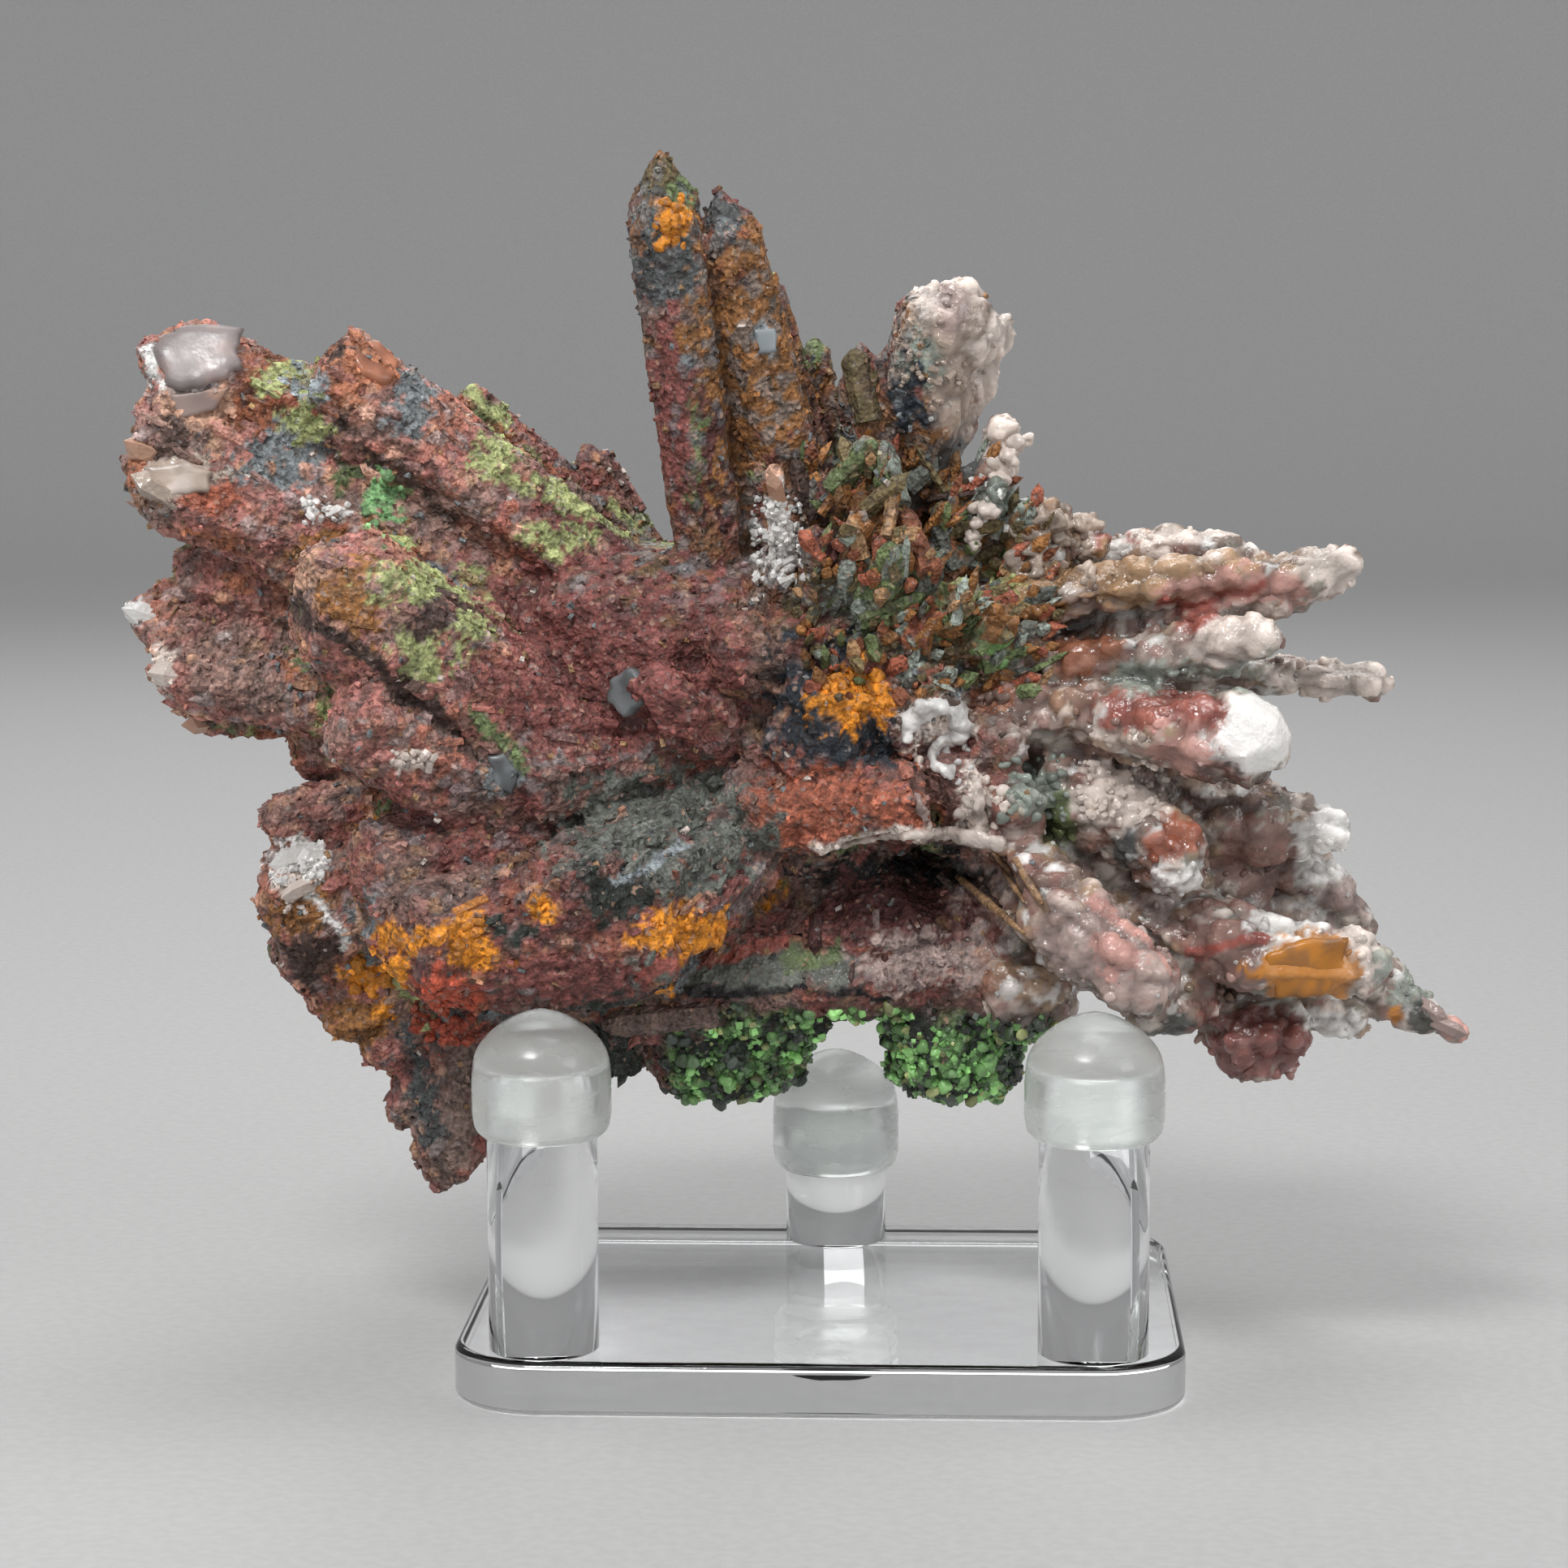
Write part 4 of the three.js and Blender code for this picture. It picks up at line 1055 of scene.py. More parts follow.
def build_beads(stone, material):
    """Green grains and beads below, and chalcedony beads on the fingers."""
    chance = np.random.default_rng(11)
    points, normals = stone["points"], stone["normals"]
    kinds_of_green = (
        ("green_grains", (BLOCK, BLOCK_FACES), 2400, (0.14, 0.32), 0.0),
        ("green_beads", ball(2), 700, (0.3, 0.68), 0.7),
    )
    for name, shape, count, (least, most), knobs in kinds_of_green:
        picked = pick_places(stone["green"] + 1e-7, count, chance)
        sizes = chance.uniform(least, most, (count, 1)) * chance.uniform(0.75, 1.2, (count, 3))
        x = points[picked][:, 0]
        lively = smooth_step(-0.25, 0.25, noise_at(points[picked], 2.6, 31.0) + 0.12 * (x > 4))
        lively *= smooth_step(-14.5, -11, x)
        tints = mixed(linear("black_green") * 2.2, linear("bright_green") * 1.35, lively)
        kinds = chance.random(count)
        tints[kinds < 0.12] = linear("yellow_green") * 0.8
        patchy = 0.7 + 0.8 * smooth_step(-0.2, 0.3, noise_at(points[picked], 1.7, 33.0))
        tints *= chance.uniform(0.4, 1.5, (count, 1)) * patchy[:, None]
        places = points[picked] + 0.08 * normals[picked]
        axes = normals[picked] + 0.5 * chance.normal(size=(count, 3))
        scatter(name, shape, places, axes, sizes, tints, (material, 0.7), chance, knobs > 0, knobs)

    clumps = smooth_step(0.05, 0.4, noise_at(points, 4.0, 41.0))
    weights = stone["waxy"] * clumps * (1 - stone["glassy"]) + 1e-7
    picked = pick_places(weights, WAXY_BEAD_COUNT, chance)
    sizes = chance.uniform(0.2, 0.6, (len(picked), 1)) * chance.uniform(0.75, 1.15, (len(picked), 3))
    places = points[picked] - normals[picked] * sizes[:, :1] * 0.5
    tints = stone["tint"][picked] * chance.uniform(0.8, 1.3, (len(picked), 1))
    scatter("waxy_beads", ball(2), places, normals[picked], sizes, tints, (material, 1.0), chance, True, 0.9)

    # Painted highlight: tiny points tinted toward white stand for glints on the fingers.
    picked = pick_places(stone["waxy"] * (1 - stone["glassy"]) + 1e-7, GLINT_COUNT, chance)
    sizes = chance.uniform(0.08, 0.22, (len(picked), 1)) * chance.uniform(0.75, 1.4, (len(picked), 3))
    tints = mixed(linear("white") * 0.7, stone["tint"][picked], 0.3 + 0.6 * chance.random(len(picked)))
    axes = normals[picked] + 0.8 * chance.normal(size=(len(picked), 3))
    scatter("finger_glints", quartz_point(), points[picked], axes, sizes, tints, (material, 1.0), chance)


# Small quartz crystals on the coat: their patch in photograph pixels, how many, and their tint.
DRUSES = {
    "white_druse": ((928, 612, 990, 716), 110, "white"),
    "white_corner": ((336, 1038, 402, 1086), 34, "white"),
    "cream_corner": ((344, 1080, 380, 1124), 16, "cream"),
    "grains_under_blue": ((374, 606, 434, 648), 14, "white"),
    # Painted highlight: cream points that stand for glints.
    "glints_left": ((480, 920, 534, 948), 14, "cream"),
    "druse_thirteen": ((1330, 938, 1432, 1012), 60, "cream"),
    "bits_by_white_lump": ((1110, 420, 1190, 476), 30, "beige"),
    "bits_low": ((1198, 588, 1242, 662), 36, "white"),
}


class Surface:
    """The shown side of the stone, found from photograph pixels."""

    def __init__(self, stone):
        self.tree = BVHTree.FromPolygons(stone["points"].tolist(), stone["faces"].tolist())

    def at(self, across, down):
        """Point and outward direction on the stone behind a photograph pixel, or None beside it."""
        place, normal, _, _ = self.tree.ray_cast(Vector(EYE), Vector(photo_ray(across, down)))
        if place is None:
            return None
        return np.array(place), np.array(normal)


def build_druses(surface, material):
    """Patches of small quartz points."""
    chance = np.random.default_rng(5)
    crystals = []
    for (left, top, right, bottom), count, colour in DRUSES.values():
        for _ in range(count):
            found = surface.at(chance.uniform(left, right), chance.uniform(top, bottom))
            if found is None:
                continue
            width = chance.uniform(0.16, 0.42)
            axis = found[1] + 0.6 * chance.normal(size=3)
            size = (width, width, width * chance.uniform(1.1, 2.0))
            crystals.append((found[0], axis, size, linear(colour) * chance.uniform(0.7, 1.0)))
    scatter_points("quartz_druse", crystals, (material, 1.0), chance)


def sleeve(rings, sides):
    """Four-sided faces that join rings of points, one after another."""
    faces = []
    for ring in range(rings - 1):
        low, high = ring * sides, (ring + 1) * sides
        for side in range(sides):
            after = (side + 1) % sides
            faces.append((low + side, low + after, high + after, high + side))
    return faces


def tube(path, radii, sides):
    """Points and faces of a round tube along a path."""
    line = np.array(path, float)
    points = []
    count = len(line)
    for k in range(count):
        before = line[max(k - 1, 0)]
        after = line[min(k + 1, count - 1)]
        ahead = (after - before) / np.linalg.norm(after - before)
        first = np.cross(ahead, AHEAD)
        first /= np.linalg.norm(first)
        second = np.cross(ahead, first)
        for side in range(sides):
            angle = 2 * math.pi * side / sides
            points.append(line[k] + radii[k] * (first * math.cos(angle) + second * math.sin(angle)))
    ends = [tuple(range(sides))[::-1], tuple(range((count - 1) * sides, count * sides))]
    return points, sleeve(count, sides) + ends


# White growths beside the arch: colour, radius at each stop, and stops in photograph pixels. The curl runs
# round its hole and down into a tail.
GROWTHS = {
    "white_curl": ("white", (0.5, 0.8, 0.95, 0.85, 0.9, 0.8, 0.75, 0.6, 0.45, 0.4, 0.5, 0.6),
                   ((1117, 914), (1122, 892), (1138, 875), (1160, 872), (1180, 882), (1186, 898), (1174, 912),
                    (1160, 912), (1152, 926), (1150, 940), (1162, 950), (1176, 952))),
    "curl_thread": ("cream", (0.2, 0.3, 0.25), ((1129, 918), (1130, 932), (1133, 946))),
    "white_post": ("cream", (0.3, 0.5, 0.5, 0.8), ((1203, 960), (1205, 980), (1206, 1002), (1208, 1026))),
    "pale_stub": ("grey_pink", (0.3, 0.4, 0.45), ((1128, 978), (1134, 994), (1140, 1012))),
    "arch_rim": ("cream", (0.25, 0.35, 0.35, 0.45, 0.65, 0.85, 0.5),
                 ((1030, 1044), (1060, 1036), (1096, 1030), (1130, 1028), (1164, 1027), (1200, 1030),
                  (1238, 1042))),
}
TWIG = ((1138, 618), (1160, 612), (1182, 611), (1202, 606))

# Thin tan needles beside the arch: their ends in photograph pixels, and radius.
TAN_NEEDLES = {
    "long": (((1250, 1058), (1284, 1114)), 0.32),
    "short": (((1224, 1050), (1248, 1078)), 0.26),
    "thin": (((1236, 1072), (1262, 1112)), 0.2),
    "ledge": (((1180, 1080), (1262, 1150)), 0.34),
}

# Bars among the small crystals above the middle: colour, radius, foot and tip in photograph pixels.
BARS = {
    "green_bar": ("moss", 0.8, (1020, 602), (1080, 544)),
    "grey_green_wedge": ("grey_green", 1.15, (1108, 624), (1084, 544)),
    "ochre_bar": ("ochre", 0.9, (1061, 704), (1062, 604)),
    "rust_bar": ("rust", 0.95, (1143, 706), (1112, 626)),
    "olive_post": ("olive", 1.25, (1070, 520), (1052, 430)),
    "brown_bar": ("dark_brown", 0.75, (1004, 640), (978, 566)),
    "tan_bar": ("tan", 0.6, (1092, 664), (1100, 612)),
    "olive_bar": ("olive", 0.8, (1020, 720), (1032, 640)),
    "grey_bar": ("band_grey", 0.7, (1176, 700), (1150, 640)),
    "low_bar": ("moss", 0.7, (1060, 760), (1140, 732)),
    "under_bar": ("grey_brown", 1.3, (884, 1248), (742, 1264)),
}

# Heaps of round lumps: colour, how many, radius, how waxy, and the box they fill in photograph pixels.
HEAPS = {
    "grey_heap": ("grey_green", 26, 0.75, 1.0, (1222, 598, 1274, 650)),
    "beige_heap": ("beige", 44, 0.9, 1.0, (1240, 636, 1350, 708)),
    "white_heap": ("cream", 22, 0.6, 1.0, (1176, 948, 1240, 1036)),
    "curl_heap": ("white", 12, 0.4, 1.0, (1150, 900, 1196, 964)),
    "pale_green_heap": ("grey_green", 44, 0.5, 1.0, (1236, 930, 1316, 1010)),
    "grey_middle_heap": ("grey_brown", 40, 0.6, 1.0, (1100, 800, 1270, 890)),
    "tall_orange_heap": ("orange", 14, 0.6, 0.3, (806, 240, 846, 304)),
    "middle_orange_heap": ("orange", 22, 0.65, 0.3, (1016, 832, 1092, 886)),
    "corner_orange_heap": ("orange", 14, 0.6, 0.3, (436, 1146, 500, 1222)),
    "corner_orange_heap_right": ("orange", 12, 0.55, 0.3, (548, 1138, 604, 1182)),
    "ledge_orange_heap": ("orange", 18, 0.55, 0.3, (790, 1130, 890, 1176)),
    "green_patch_heap": ("mint", 30, 0.4, 0.3, (448, 576, 500, 648)),
    "spike_red_heap": ("bright_red", 24, 0.7, 0.0, (508, 1208, 584, 1288)),
}

# Strings of lumps: colour, radius, and the line they follow.
CHAINS = {
    "white_chain": ("cream", 0.95,
                    ((1262, 540), (1244, 566), (1226, 594), (1212, 622), (1200, 654), (1192, 676))),
}

# Pale points at the ends of the crystals: colour, width, length, and place.
TIPS = {
    "left_high": ("peach", 1.5, 2.4, (172, 552)),
    "left_lip": ("beige", 1.5, 2.4, (180, 596)),
    "left_upper": ("white", 1.5, 2.6, (172, 756)),
    "left_middle": ("cream", 1.5, 2.6, (204, 830)),
    "left_low": ("peach", 1.4, 2.4, (244, 890)),
    "corner_high": ("white", 1.7, 2.2, (350, 1062)),
    "corner_second": ("white", 1.5, 2.0, (378, 1058)),
    "corner_low": ("cream", 1.2, 1.8, (360, 1100)),
    "middle_peach": ("peach", 1.0, 2.4, (954, 596)),
    "twelve_end": ("grey_pink", 0.9, 1.7, (1794, 1270)),
    "twelve_side": ("grey_pink", 0.9, 1.6, (1772, 1250)),
}

# Clean faces: main and second colour, rise over the crust, and outline in photograph pixels.
CLEAN_FACES = {
    "smoky_tip": ("glass_violet", "grey_pink", 0.95,
                  ((186, 426), (206, 405), (246, 396), (298, 402), (294, 450), (256, 472), (210, 476))),
    "smoky_tip_low": ("grey_pink", "peach", 0.4,
                      ((206, 486), (256, 480), (284, 476), (266, 506), (222, 518))),
    "blue_diamond": ("grey_blue", "dark_grey", 0.75,
                     ((748, 838), (772, 822), (794, 842), (788, 866), (766, 884), (746, 866))),
    "pale_square": ("pale_blue", "grey_blue", 0.35, ((930, 406), (956, 404), (959, 434), (934, 438))),
    "blue_foot": ("grey_blue", "dark_grey", 0.4,
                  ((600, 932), (620, 926), (640, 952), (632, 984), (608, 968))),
    "peach_face": ("orange_peach", "rust", 0.5, ((428, 420), (468, 418), (496, 444), (486, 470), (446, 458))),
    "amber_face": ("amber", "ochre", 0.35,
                   ((1554, 1178), (1600, 1158), (1658, 1160), (1664, 1196), (1630, 1228), (1574, 1230))),
    "pale_lip": ("beige", "cream", 0.3,
                 ((178, 574), (224, 566), (262, 580), (254, 604), (206, 612), (180, 600))),
}

# Rings of a clean face from its middle to its root: how wide, and how deep below the face in millimetres.
FACE_RINGS = ((0.3, 0.0), (0.6, 0.0), (0.84, 0.02), (0.96, 0.2), (1.0, 0.7), (0.8, 2.6))


def lifted(surface, pixels, lift):
    """Points just off the stone behind pixels. A pixel beside the stone takes its neighbour's depth."""
    hits = [surface.at(*pixel) for pixel in pixels]
    depths = [None if hit is None else (hit[0] - EYE) @ AHEAD for hit in hits]
    known = [k for k, depth in enumerate(depths) if depth is not None]
    made = []
    for k, pixel in enumerate(pixels):
        nearest = min(known, key=lambda other: abs(other - k))
        ray = photo_ray(*pixel)
        made.append(EYE + ray * (depths[nearest] - lift) / (ray @ AHEAD))
    return made


def add_tube(name, path, radii, colour, finish, sides=14, knobs=0.16):
    """A knobbly tube, or with six sides a rough bar."""
    material, waxy = finish
    points, faces = tube(path, radii, sides)
    points = np.array(points)
    lumps = knobs * (noise_at(points, 1.1, 51.0) + 0.5 * noise_at(points, 0.4, 54.0))
    middle = points.reshape(len(path), sides, 3).mean(axis=1).repeat(sides, axis=0)
    points = points + (points - middle) * lumps[:, None] / max(radii)
    made = new_object(name, points, faces, material, sides > 6)
    shade = 0.85 + 0.4 * noise_at(points, 1.0, 52.0)
    stained = 0.5 * smooth_step(0.1, 0.4, noise_at(points, 1.6, 53.0))
    tint = mixed(linear(colour) * shade[:, None], linear("dark_brown"), stained)
    finish_on_stone(made, tint, waxy, waxy)


def build_growths(surface, material):
    """Knobbly white growths that wind over the stone."""
    for name, (colour, radii, stops) in GROWTHS.items():
        line = smooth_profile(stops, 8)
        path = lifted(surface, line, 0.35)
        depths = np.array([(place - EYE) @ AHEAD for place in path])
        for _ in range(6):
            depths[1:-1] = (depths[:-2] + depths[1:-1] + depths[2:]) / 3
        rays = [photo_ray(*pixel) for pixel in line]
        path = [EYE + ray * depth / (ray @ AHEAD) for ray, depth in zip(rays, depths)]
        sizes = np.interp(np.linspace(0, 1, len(path)), np.linspace(0, 1, len(radii)), radii)
        add_tube(name, path, list(sizes), colour, (material, 1.0), knobs=0.8)


def build_needles(surface, material):
    """Thin needles and a twig, laid over the stone."""
    for name, (ends, radius) in TAN_NEEDLES.items():
        start, end = lifted(surface, ends, 0.7)
        path = [start + (end - start) * share for share in np.linspace(0, 1, 8)]
        add_tube(f"{name}_needle", path, [radius] * 7 + [radius * 0.4], "tan", (material, 0.4))
    twig = lifted(surface, TWIG, 0.4)
    add_tube("brown_twig", twig, [0.28] * len(twig), "dark_brown", (material, 0.2))


def build_bars(surface, material):
    """Six-sided crystals lying over one another, each with a blunt point."""
    for name, (colour, radius, foot, tip) in BARS.items():
        start, end = lifted(surface, (foot, tip), 0.35 - 0.1 * radius)
        path = [start + (end - start) * share for share in np.linspace(0, 1, 14)]
        radii = [radius] * 12 + [radius * 0.8, radius * 0.25]
        add_tube(name, path, radii, colour, (material, 0.0), sides=6, knobs=0.2)


def build_chains(surface, material):
    """Strings of round lumps grown into one another."""
    chance = np.random.default_rng(17)
    for name, (colour, radius, line) in CHAINS.items():
        stops = []
        for (x0, y0), (x1, y1) in zip(line, line[1:]):
            stops += [(x0 + (x1 - x0) * share, y0 + (y1 - y0) * share) for share in (0, 0.33, 0.67)]
        places = np.array(lifted(surface, stops, radius * 0.3))
        places += 0.28 * chance.normal(size=places.shape)
        sizes = radius * chance.uniform(0.5, 1.1, (len(places), 1))
        sizes = sizes * chance.uniform(0.75, 1.2, (len(places), 3))
        tints = linear(colour) * chance.uniform(0.7, 1.0, (len(places), 1))
        axes = chance.normal(size=places.shape)
        scatter(name, ball(3), places, axes, sizes, tints, (material, 1.0), chance, True, 0.9)


def build_heaps(surface, material):
    """Round lumps of mixed size, each sunk a little into the stone."""
    chance = np.random.default_rng(29)
    for name, (colour, count, radius, waxy, (left, top, right, bottom)) in HEAPS.items():
        pixels = [(chance.uniform(left, right), chance.uniform(top, bottom)) for _ in range(count)]
        hits = [hit for hit in (surface.at(*pixel) for pixel in pixels) if hit]
        sizes = radius * chance.uniform(0.4, 1.15, (len(hits), 1)) * chance.uniform(0.8, 1.15, (len(hits), 3))
        places = np.array([place - 0.25 * radius * normal for place, normal in hits])
        axes = np.array([normal for _, normal in hits])
        tints = linear(colour) * chance.uniform(0.55, 1.05, (len(hits), 1))
        scatter(name, ball(3), places, axes, sizes, tints, (material, waxy), chance, True, 0.9)


def build_tips(surface, material):
    """Pale quartz points that stand out at the ends of the crystals."""
    chance = np.random.default_rng(19)
    crystals = []
    for colour, width, length, pixel in TIPS.values():
        found = surface.at(*pixel)
        if found is None:
            continue
        away = found[0] - HUB
        axis = away / np.linalg.norm(away) + 0.35 * found[1]
        axis /= np.linalg.norm(axis)
        size = (width * 0.85, width * 0.7, length)
        crystals.append((found[0] - axis * length * 0.35, axis, size, linear(colour) * 0.8))
    scatter_points("pale_tips", crystals, (material, 1.0), chance)


def build_clean_faces(surface, material):
    """Smooth crystal faces with ragged rims, each the top of a block that is set into the stone."""
    for name, (colour, second, rise, outline) in CLEAN_FACES.items():
        middle = np.mean(outline, axis=0)
        spokes = [np.array(corner) - middle for corner in outline]
        found = [surface.at(*(middle + spoke * share)) for spoke in spokes for share in (0.3, 0.6, 0.85)]
        hits = np.array([hit[0] for hit in found if hit])
        centre = hits.mean(axis=0)
        facing = np.linalg.svd(hits - centre)[2][2]
        facing *= -np.sign(facing @ AHEAD)
        facing = facing - 0.6 * AHEAD
        facing /= np.linalg.norm(facing)
        front = centre + facing * rise
        rim = []
        for start, end in zip(outline, outline[1:] + outline[:1]):
            for share in np.arange(0, 1, 0.125):
                ray = photo_ray(*(np.array(start) + (np.array(end) - np.array(start)) * share))
                rim.append(EYE + ray * ((front - EYE) @ facing) / (ray @ facing))
        rim = np.array(rim)
        middle = rim.mean(axis=0)
        ragged = (1 + 0.17 * noise_at(rim, 1.1, 81.0))[:, None]
        rings = [middle + (rim - middle) * ragged * share - facing * sunk for share, sunk in FACE_RINGS]
        points = np.vstack([middle] + rings)
        points += 0.03 * noise_at(points, 1.3, 82.0)[:, None] * facing
        count = len(rim)
        faces = []
        for side in range(count):
            after = (side + 1) % count
            faces.append((0, 1 + side, 1 + after))
            for level in range(len(FACE_RINGS) - 1):
                low, high = 1 + level * count, 1 + (level + 1) * count
                faces.append((low + side, high + side, high + after, low + after))
        faces.append(tuple(range(len(points) - count, len(points)))[::-1])
        made = new_object(name, points, faces, material)
        cloud = smooth_step(-0.1, 0.45, layered_noise(points, 1.9, 83.0))
        uneven = 0.95 + 0.5 * noise_at(points, 2.4, 84.0)
        tint = mixed(linear(colour), linear(second), 0.8 * cloud) * uneven[:, None]
        finish_on_stone(made, tint * 0.85, 2.0, 1.0)


def build_middle_crystals(surface, material):
    """Many small crystals that point away from the hub, above the middle."""
    chance = np.random.default_rng(23)
    crystals = []
    palette = (
        "olive", "ochre", "moss", "tan", "olive", "rust", "band_grey", "ochre", "grey_green", "red_orange",
    )
    left, top, right, bottom = MIDDLE_CRYSTAL_BOX
    while len(crystals) < MIDDLE_CRYSTAL_COUNT:
        found = surface.at(chance.uniform(left, right), chance.uniform(top, bottom))
        if found is None:
            continue
        away = found[0] - HUB
        width = chance.uniform(0.35, 0.95)
        place = found[0] - found[1] * width * 0.4
        axis = away / np.linalg.norm(away) + 0.3 * found[1] + 0.35 * chance.normal(size=3)
        size = (width, width * chance.uniform(0.6, 1.0), chance.uniform(1.0, 2.8))
        tint = linear(palette[chance.integers(len(palette))]) * chance.uniform(0.8, 1.5)
        crystals.append((place, axis, size, tint))
    scatter_points("middle_crystals", crystals, (material, 0.0), chance)


# Stand -------------------------------------------------------------------------------------------

def lathe(name, profile, sides, place, material):
    """A closed turned solid from a profile of (out, up) with both ends on the axis."""
    points = []
    faces = []
    for out, up in profile[1:-1]:
        for side in range(sides):
            angle = 2 * math.pi * side / sides
            points.append((place[0] + out * math.cos(angle), place[1] + out * math.sin(angle), place[2] + up))
    rings = len(profile) - 2
    for ring in range(rings - 1):
        for side in range(sides):
            after = (side + 1) % sides
            first, second = ring * sides, (ring + 1) * sides
            faces.append((first + side, second + side, second + after, first + after))
    for end, ring in ((0, 0), (-1, rings - 1)):
        tip = len(points)
        points.append((place[0], place[1], place[2] + profile[end][1]))
        for side in range(sides):
            after = (side + 1) % sides
            pair = (ring * sides + side, ring * sides + after)
            faces.append((tip, *pair) if end == 0 else (tip, *pair[::-1]))
    made = new_object(name, points, faces, material)
    for face in made.data.polygons:
        if abs(face.normal.z) > 0.9999:
            face.use_smooth = False
    made.data.set_sharp_from_angle(angle=math.radians(50))
    return made


def smooth_profile(corners, steps=6):
    """Catmull-Rom curve through profile corners."""
    line = np.array(corners, float)
    padded = np.vstack([2 * line[0] - line[1], line, 2 * line[-1] - line[-2]])
    made = []
    for p0, p1, p2, p3 in zip(padded, padded[1:], padded[2:], padded[3:]):
        for step in range(steps):
            t = step / steps
            point = 2 * p1 + (p2 - p0) * t + (2 * p0 - 5 * p1 + 4 * p2 - p3) * t ** 2
            made.append((point + (3 * p1 - p0 - 3 * p2 + p3) * t ** 3) / 2)
    made.append(line[-1])
    return [tuple(p) for p in made]


def cap_profile(length):
    """Outline of a cap from the tip of its dome, down its outside, and back up its socket."""
    dome = smooth_profile(CAP_DOME)
    dome[0] = (0, 0)
    foot = smooth_profile([(CAP_RADIUS, 2 - length), (5.75, 0.7 - length), (5.1, 0.0 - length)], 4)
    inside = [(SOCKET_RADIUS, 0.25 - length), (SOCKET_RADIUS, -CAP_ROOF - 0.5),
              (SOCKET_RADIUS - 0.15, -CAP_ROOF - 0.15), (SOCKET_RADIUS - 0.5, -CAP_ROOF + 0.02),
              (0, -CAP_ROOF + 0.02)]
    return dome + foot + inside


def rounded_outline(width, depth, corner, steps=14):
    """Corners of a rectangle with round corners, seen from above."""
    made = []
    for turn, (sx, sy) in enumerate(((1, 1), (-1, 1), (-1, -1), (1, -1))):
        for step in range(steps + 1):
            angle = math.pi / 2 * (turn + step / steps)
            made.append((sx * (width / 2 - corner) + corner * math.cos(angle),
                         sy * (depth / 2 - corner) + corner * math.sin(angle)))
    return made


def build_plate(material):
    """Plate with polished round edges."""
    width, depth, thick = PLATE_SIZE
    levels = []
    for step in range(9):
        angle = math.pi / 2 * step / 8
        levels.append((PLATE_EDGE * (1 - math.sin(angle)), PLATE_EDGE * (1 - math.cos(angle))))
    for step in range(9):
        angle = math.pi / 2 * step / 8
        levels.append((PLATE_EDGE * (1 - math.cos(angle)), thick - PLATE_EDGE * (1 - math.sin(angle))))
    points = []
    for inset, up in levels:
        outline = rounded_outline(width - 2 * inset, depth - 2 * inset, PLATE_CORNER - inset)
        points += [(x, y, up) for x, y in outline]
    count = len(outline)
    ends = [tuple(range(count))[::-1], tuple(range(len(points) - count, len(points)))]
    made = new_object("clear_plate", points, ends + sleeve(len(levels), count), material)
    for end in (0, 1):
        made.data.polygons[end].use_smooth = False
    seat(made, "stand_plate", "acrylic")


def build_pegs(acrylic, silicone):
    """Rods on the plate, each with a soft cap."""
    thick = PLATE_SIZE[2]
    for name, peg in PEGS.items():
        top = peg["height"] - CAP_ROOF
        rod = [(0, thick), (ROD_RADIUS - 0.15, thick), (ROD_RADIUS, thick + 0.15),
               (ROD_RADIUS, top - 0.4), (ROD_RADIUS - 0.4, top), (0, top)]
        made = lathe(f"clear_rod_{name}", rod[::-1], TURNED_SIDES, (peg["x"], peg["y"], 0), acrylic)
        seat(made, f"{name}_rod", "acrylic")
        place = (peg["x"], peg["y"], peg["height"])
        made = lathe(f"soft_cap_{name}", cap_profile(peg["cap"]), TURNED_SIDES, place, silicone)
        seat(made, f"{name}_cap", "silicone")


# Studio ------------------------------------------------------------------------------------------

# Lights: place and size in metres, and power in watts.
LIGHT_TARGET = (0, 0, 0.05)
LIGHTS = {
    "key": ((-0.18, -0.42, 0.62), (0.2, 0.14), 3.1),
    "fill": ((0.55, -0.35, 0.35), (0.3, 0.3), 1.0),
    "overhead": ((0.05, 0.1, 0.75), (0.4, 0.3), 2.0),
    "rear": ((-0.1, 0.55, 0.4), (0.4, 0.3), 0.8),
}

# Floor: its two greys, how far it lies in front, behind and to the sides, and the bend up to its back wall.
FLOOR_GREYS = ((0.385, 0.385, 0.38, 1.0), (0.415, 0.415, 0.41, 1.0))
FLOOR_FRONT = -2500
FLOOR_BACK = 900
FLOOR_SIDE = 3000
FLOOR_BEND = 500
WALL_HEIGHT = 2500
FLOOR_DROP = 0.05
SKY_COLOUR = (0.78, 0.78, 0.8, 1.0)
SKY_STRENGTH = 0.78


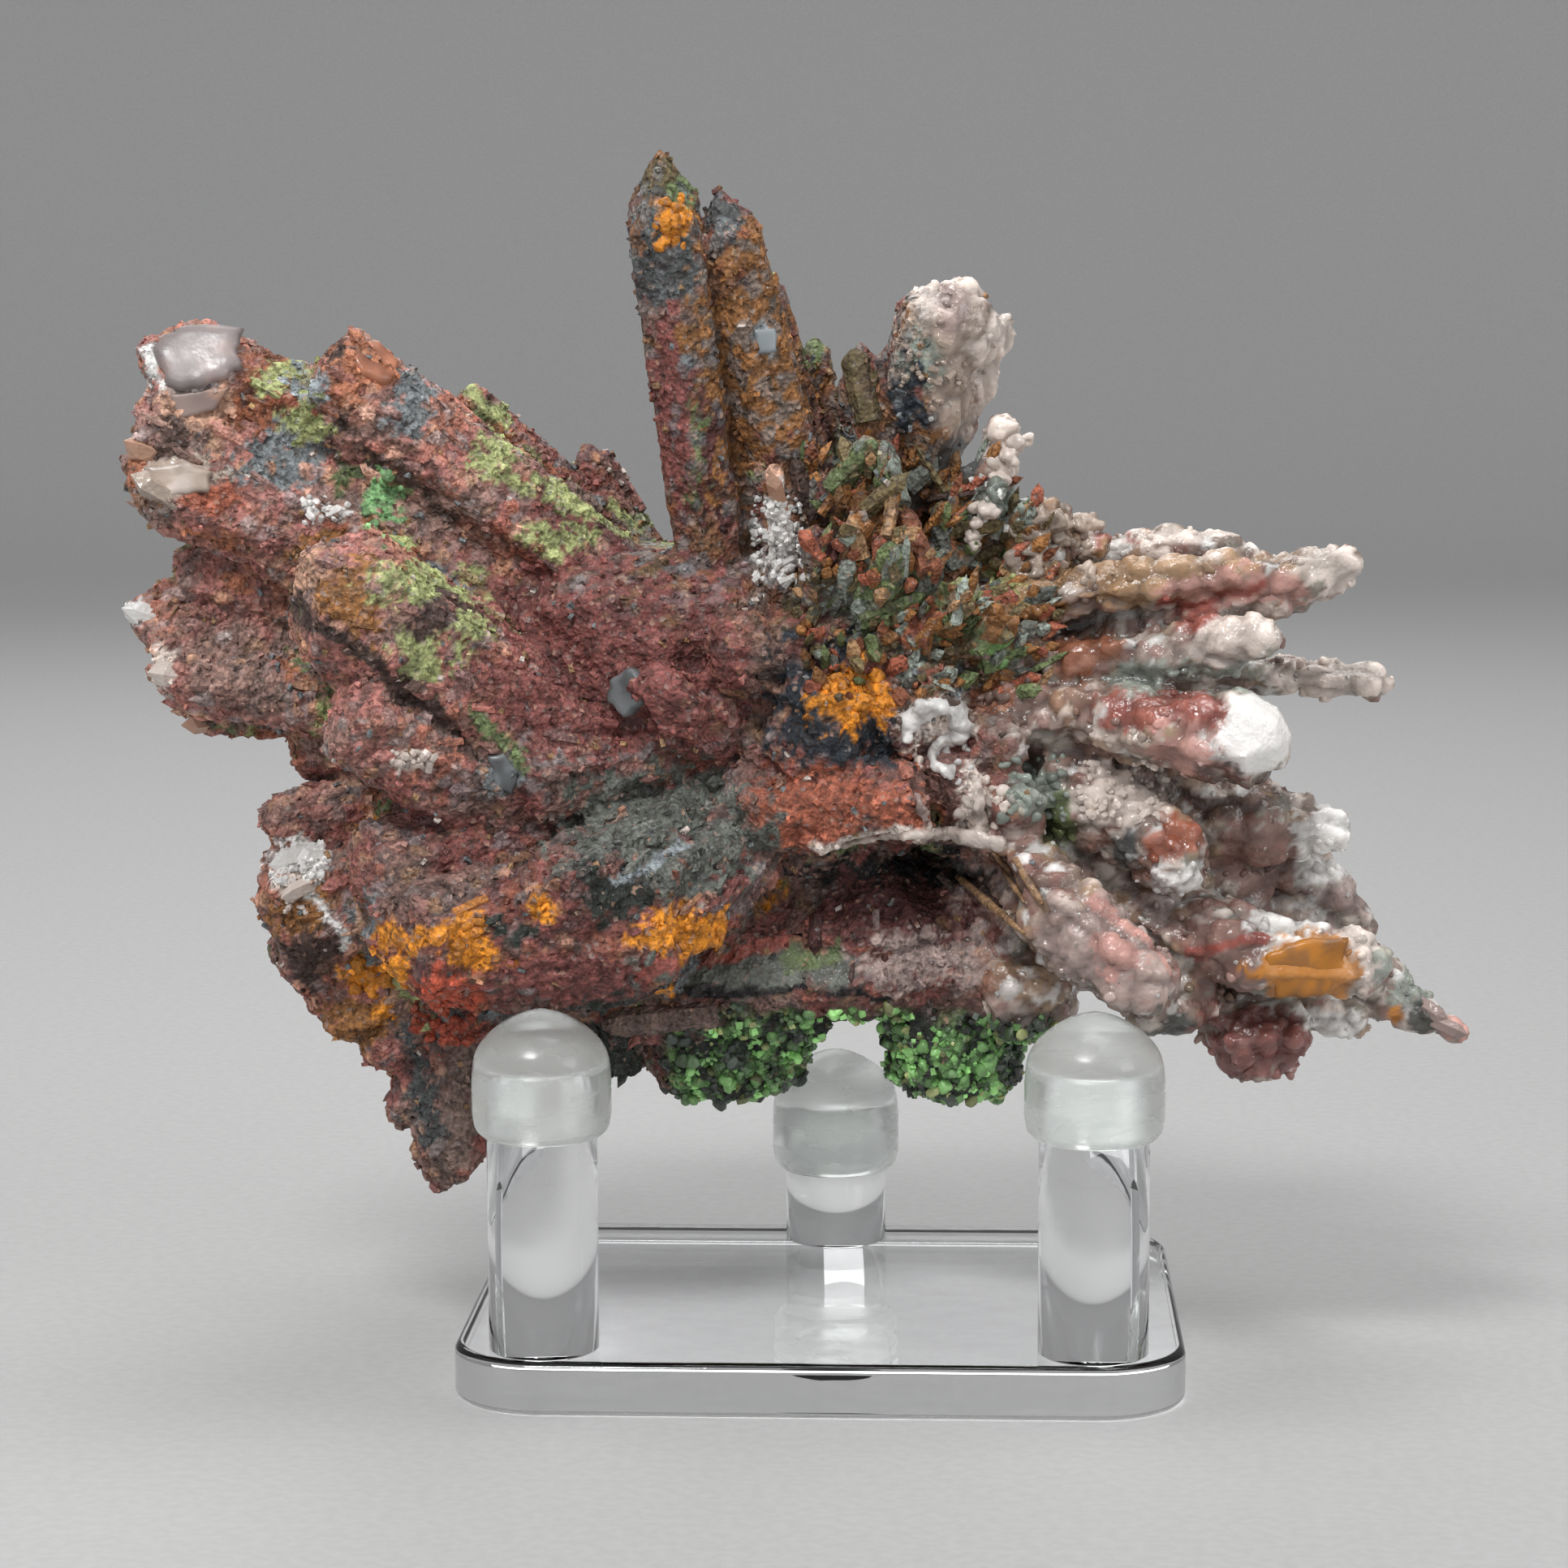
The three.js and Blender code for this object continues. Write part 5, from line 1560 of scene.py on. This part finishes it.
def add_light(name, place, size, power):
    """A soft rectangular light that faces the stone, in metres and watts."""
    light = bpy.data.lights.new(name, "AREA")
    light.shape = "RECTANGLE"
    light.size, light.size_y = size
    light.energy = power
    made = bpy.data.objects.new(name, light)
    made.location = place
    made.rotation_euler = (Vector(LIGHT_TARGET) - Vector(place)).to_track_quat("-Z", "Y").to_euler()
    show(made)


def build_studio():
    """Pale floor that sweeps up behind the stone, soft surroundings and four lights."""
    made = Nodes("pale_floor")
    place = made.add("ShaderNodeTexCoord").outputs["Object"]
    grain = made.noise(place, 900, 3.0)
    colour = made.blend(made.ramp(grain, (0.3, 0.7, 0.0, 1.0)), *FLOOR_GREYS)
    made.link(colour, made.shader.inputs["Base Color"])
    made.shader.inputs["Roughness"].default_value = 0.6
    sweep = [(FLOOR_FRONT, 0), (FLOOR_BACK, 0)]
    for angle in np.linspace(0, math.pi / 2, 13)[1:]:
        sweep.append((FLOOR_BACK + FLOOR_BEND * math.sin(angle), FLOOR_BEND - FLOOR_BEND * math.cos(angle)))
    sweep.append((FLOOR_BACK + FLOOR_BEND, WALL_HEIGHT))
    points = [(x, y, z - FLOOR_DROP) for y, z in sweep for x in (-FLOOR_SIDE, FLOOR_SIDE)]
    faces = [(i, i + 1, i + 3, i + 2) for i in range(0, len(points) - 2, 2)]
    floor = new_object("floor", points, faces, made.material)
    world = bpy.data.worlds.new("studio")
    world.use_nodes = True
    sky = world.node_tree.nodes["Background"]
    sky.inputs["Color"].default_value = SKY_COLOUR
    sky.inputs["Strength"].default_value = SKY_STRENGTH
    bpy.context.scene.world = world
    for name, (place, size, power) in LIGHTS.items():
        add_light(name, place, size, power)
    bpy.context.scene.view_settings.view_transform = "Standard"


add_camera()
build_studio()
coat = stone_material()
stone = build_stone(coat)
build_grains(stone, coat)
build_beads(stone, coat)
shown = Surface(stone)
build_druses(shown, coat)
build_growths(shown, coat)
build_needles(shown, coat)
build_bars(shown, coat)
build_chains(shown, coat)
build_heaps(shown, coat)
build_tips(shown, coat)
build_clean_faces(shown, coat)
build_middle_crystals(shown, coat)
acrylic = clear_material("clear_acrylic", (0.97, 0.975, 0.985), (0.0, 0.02), 1.49, 1.0)
silicone = clear_material("clear_silicone", (0.94, 0.965, 0.945), (0.14, 0.34), 1.41, 0.84, 0.22)
build_plate(acrylic)
build_pegs(acrylic, silicone)
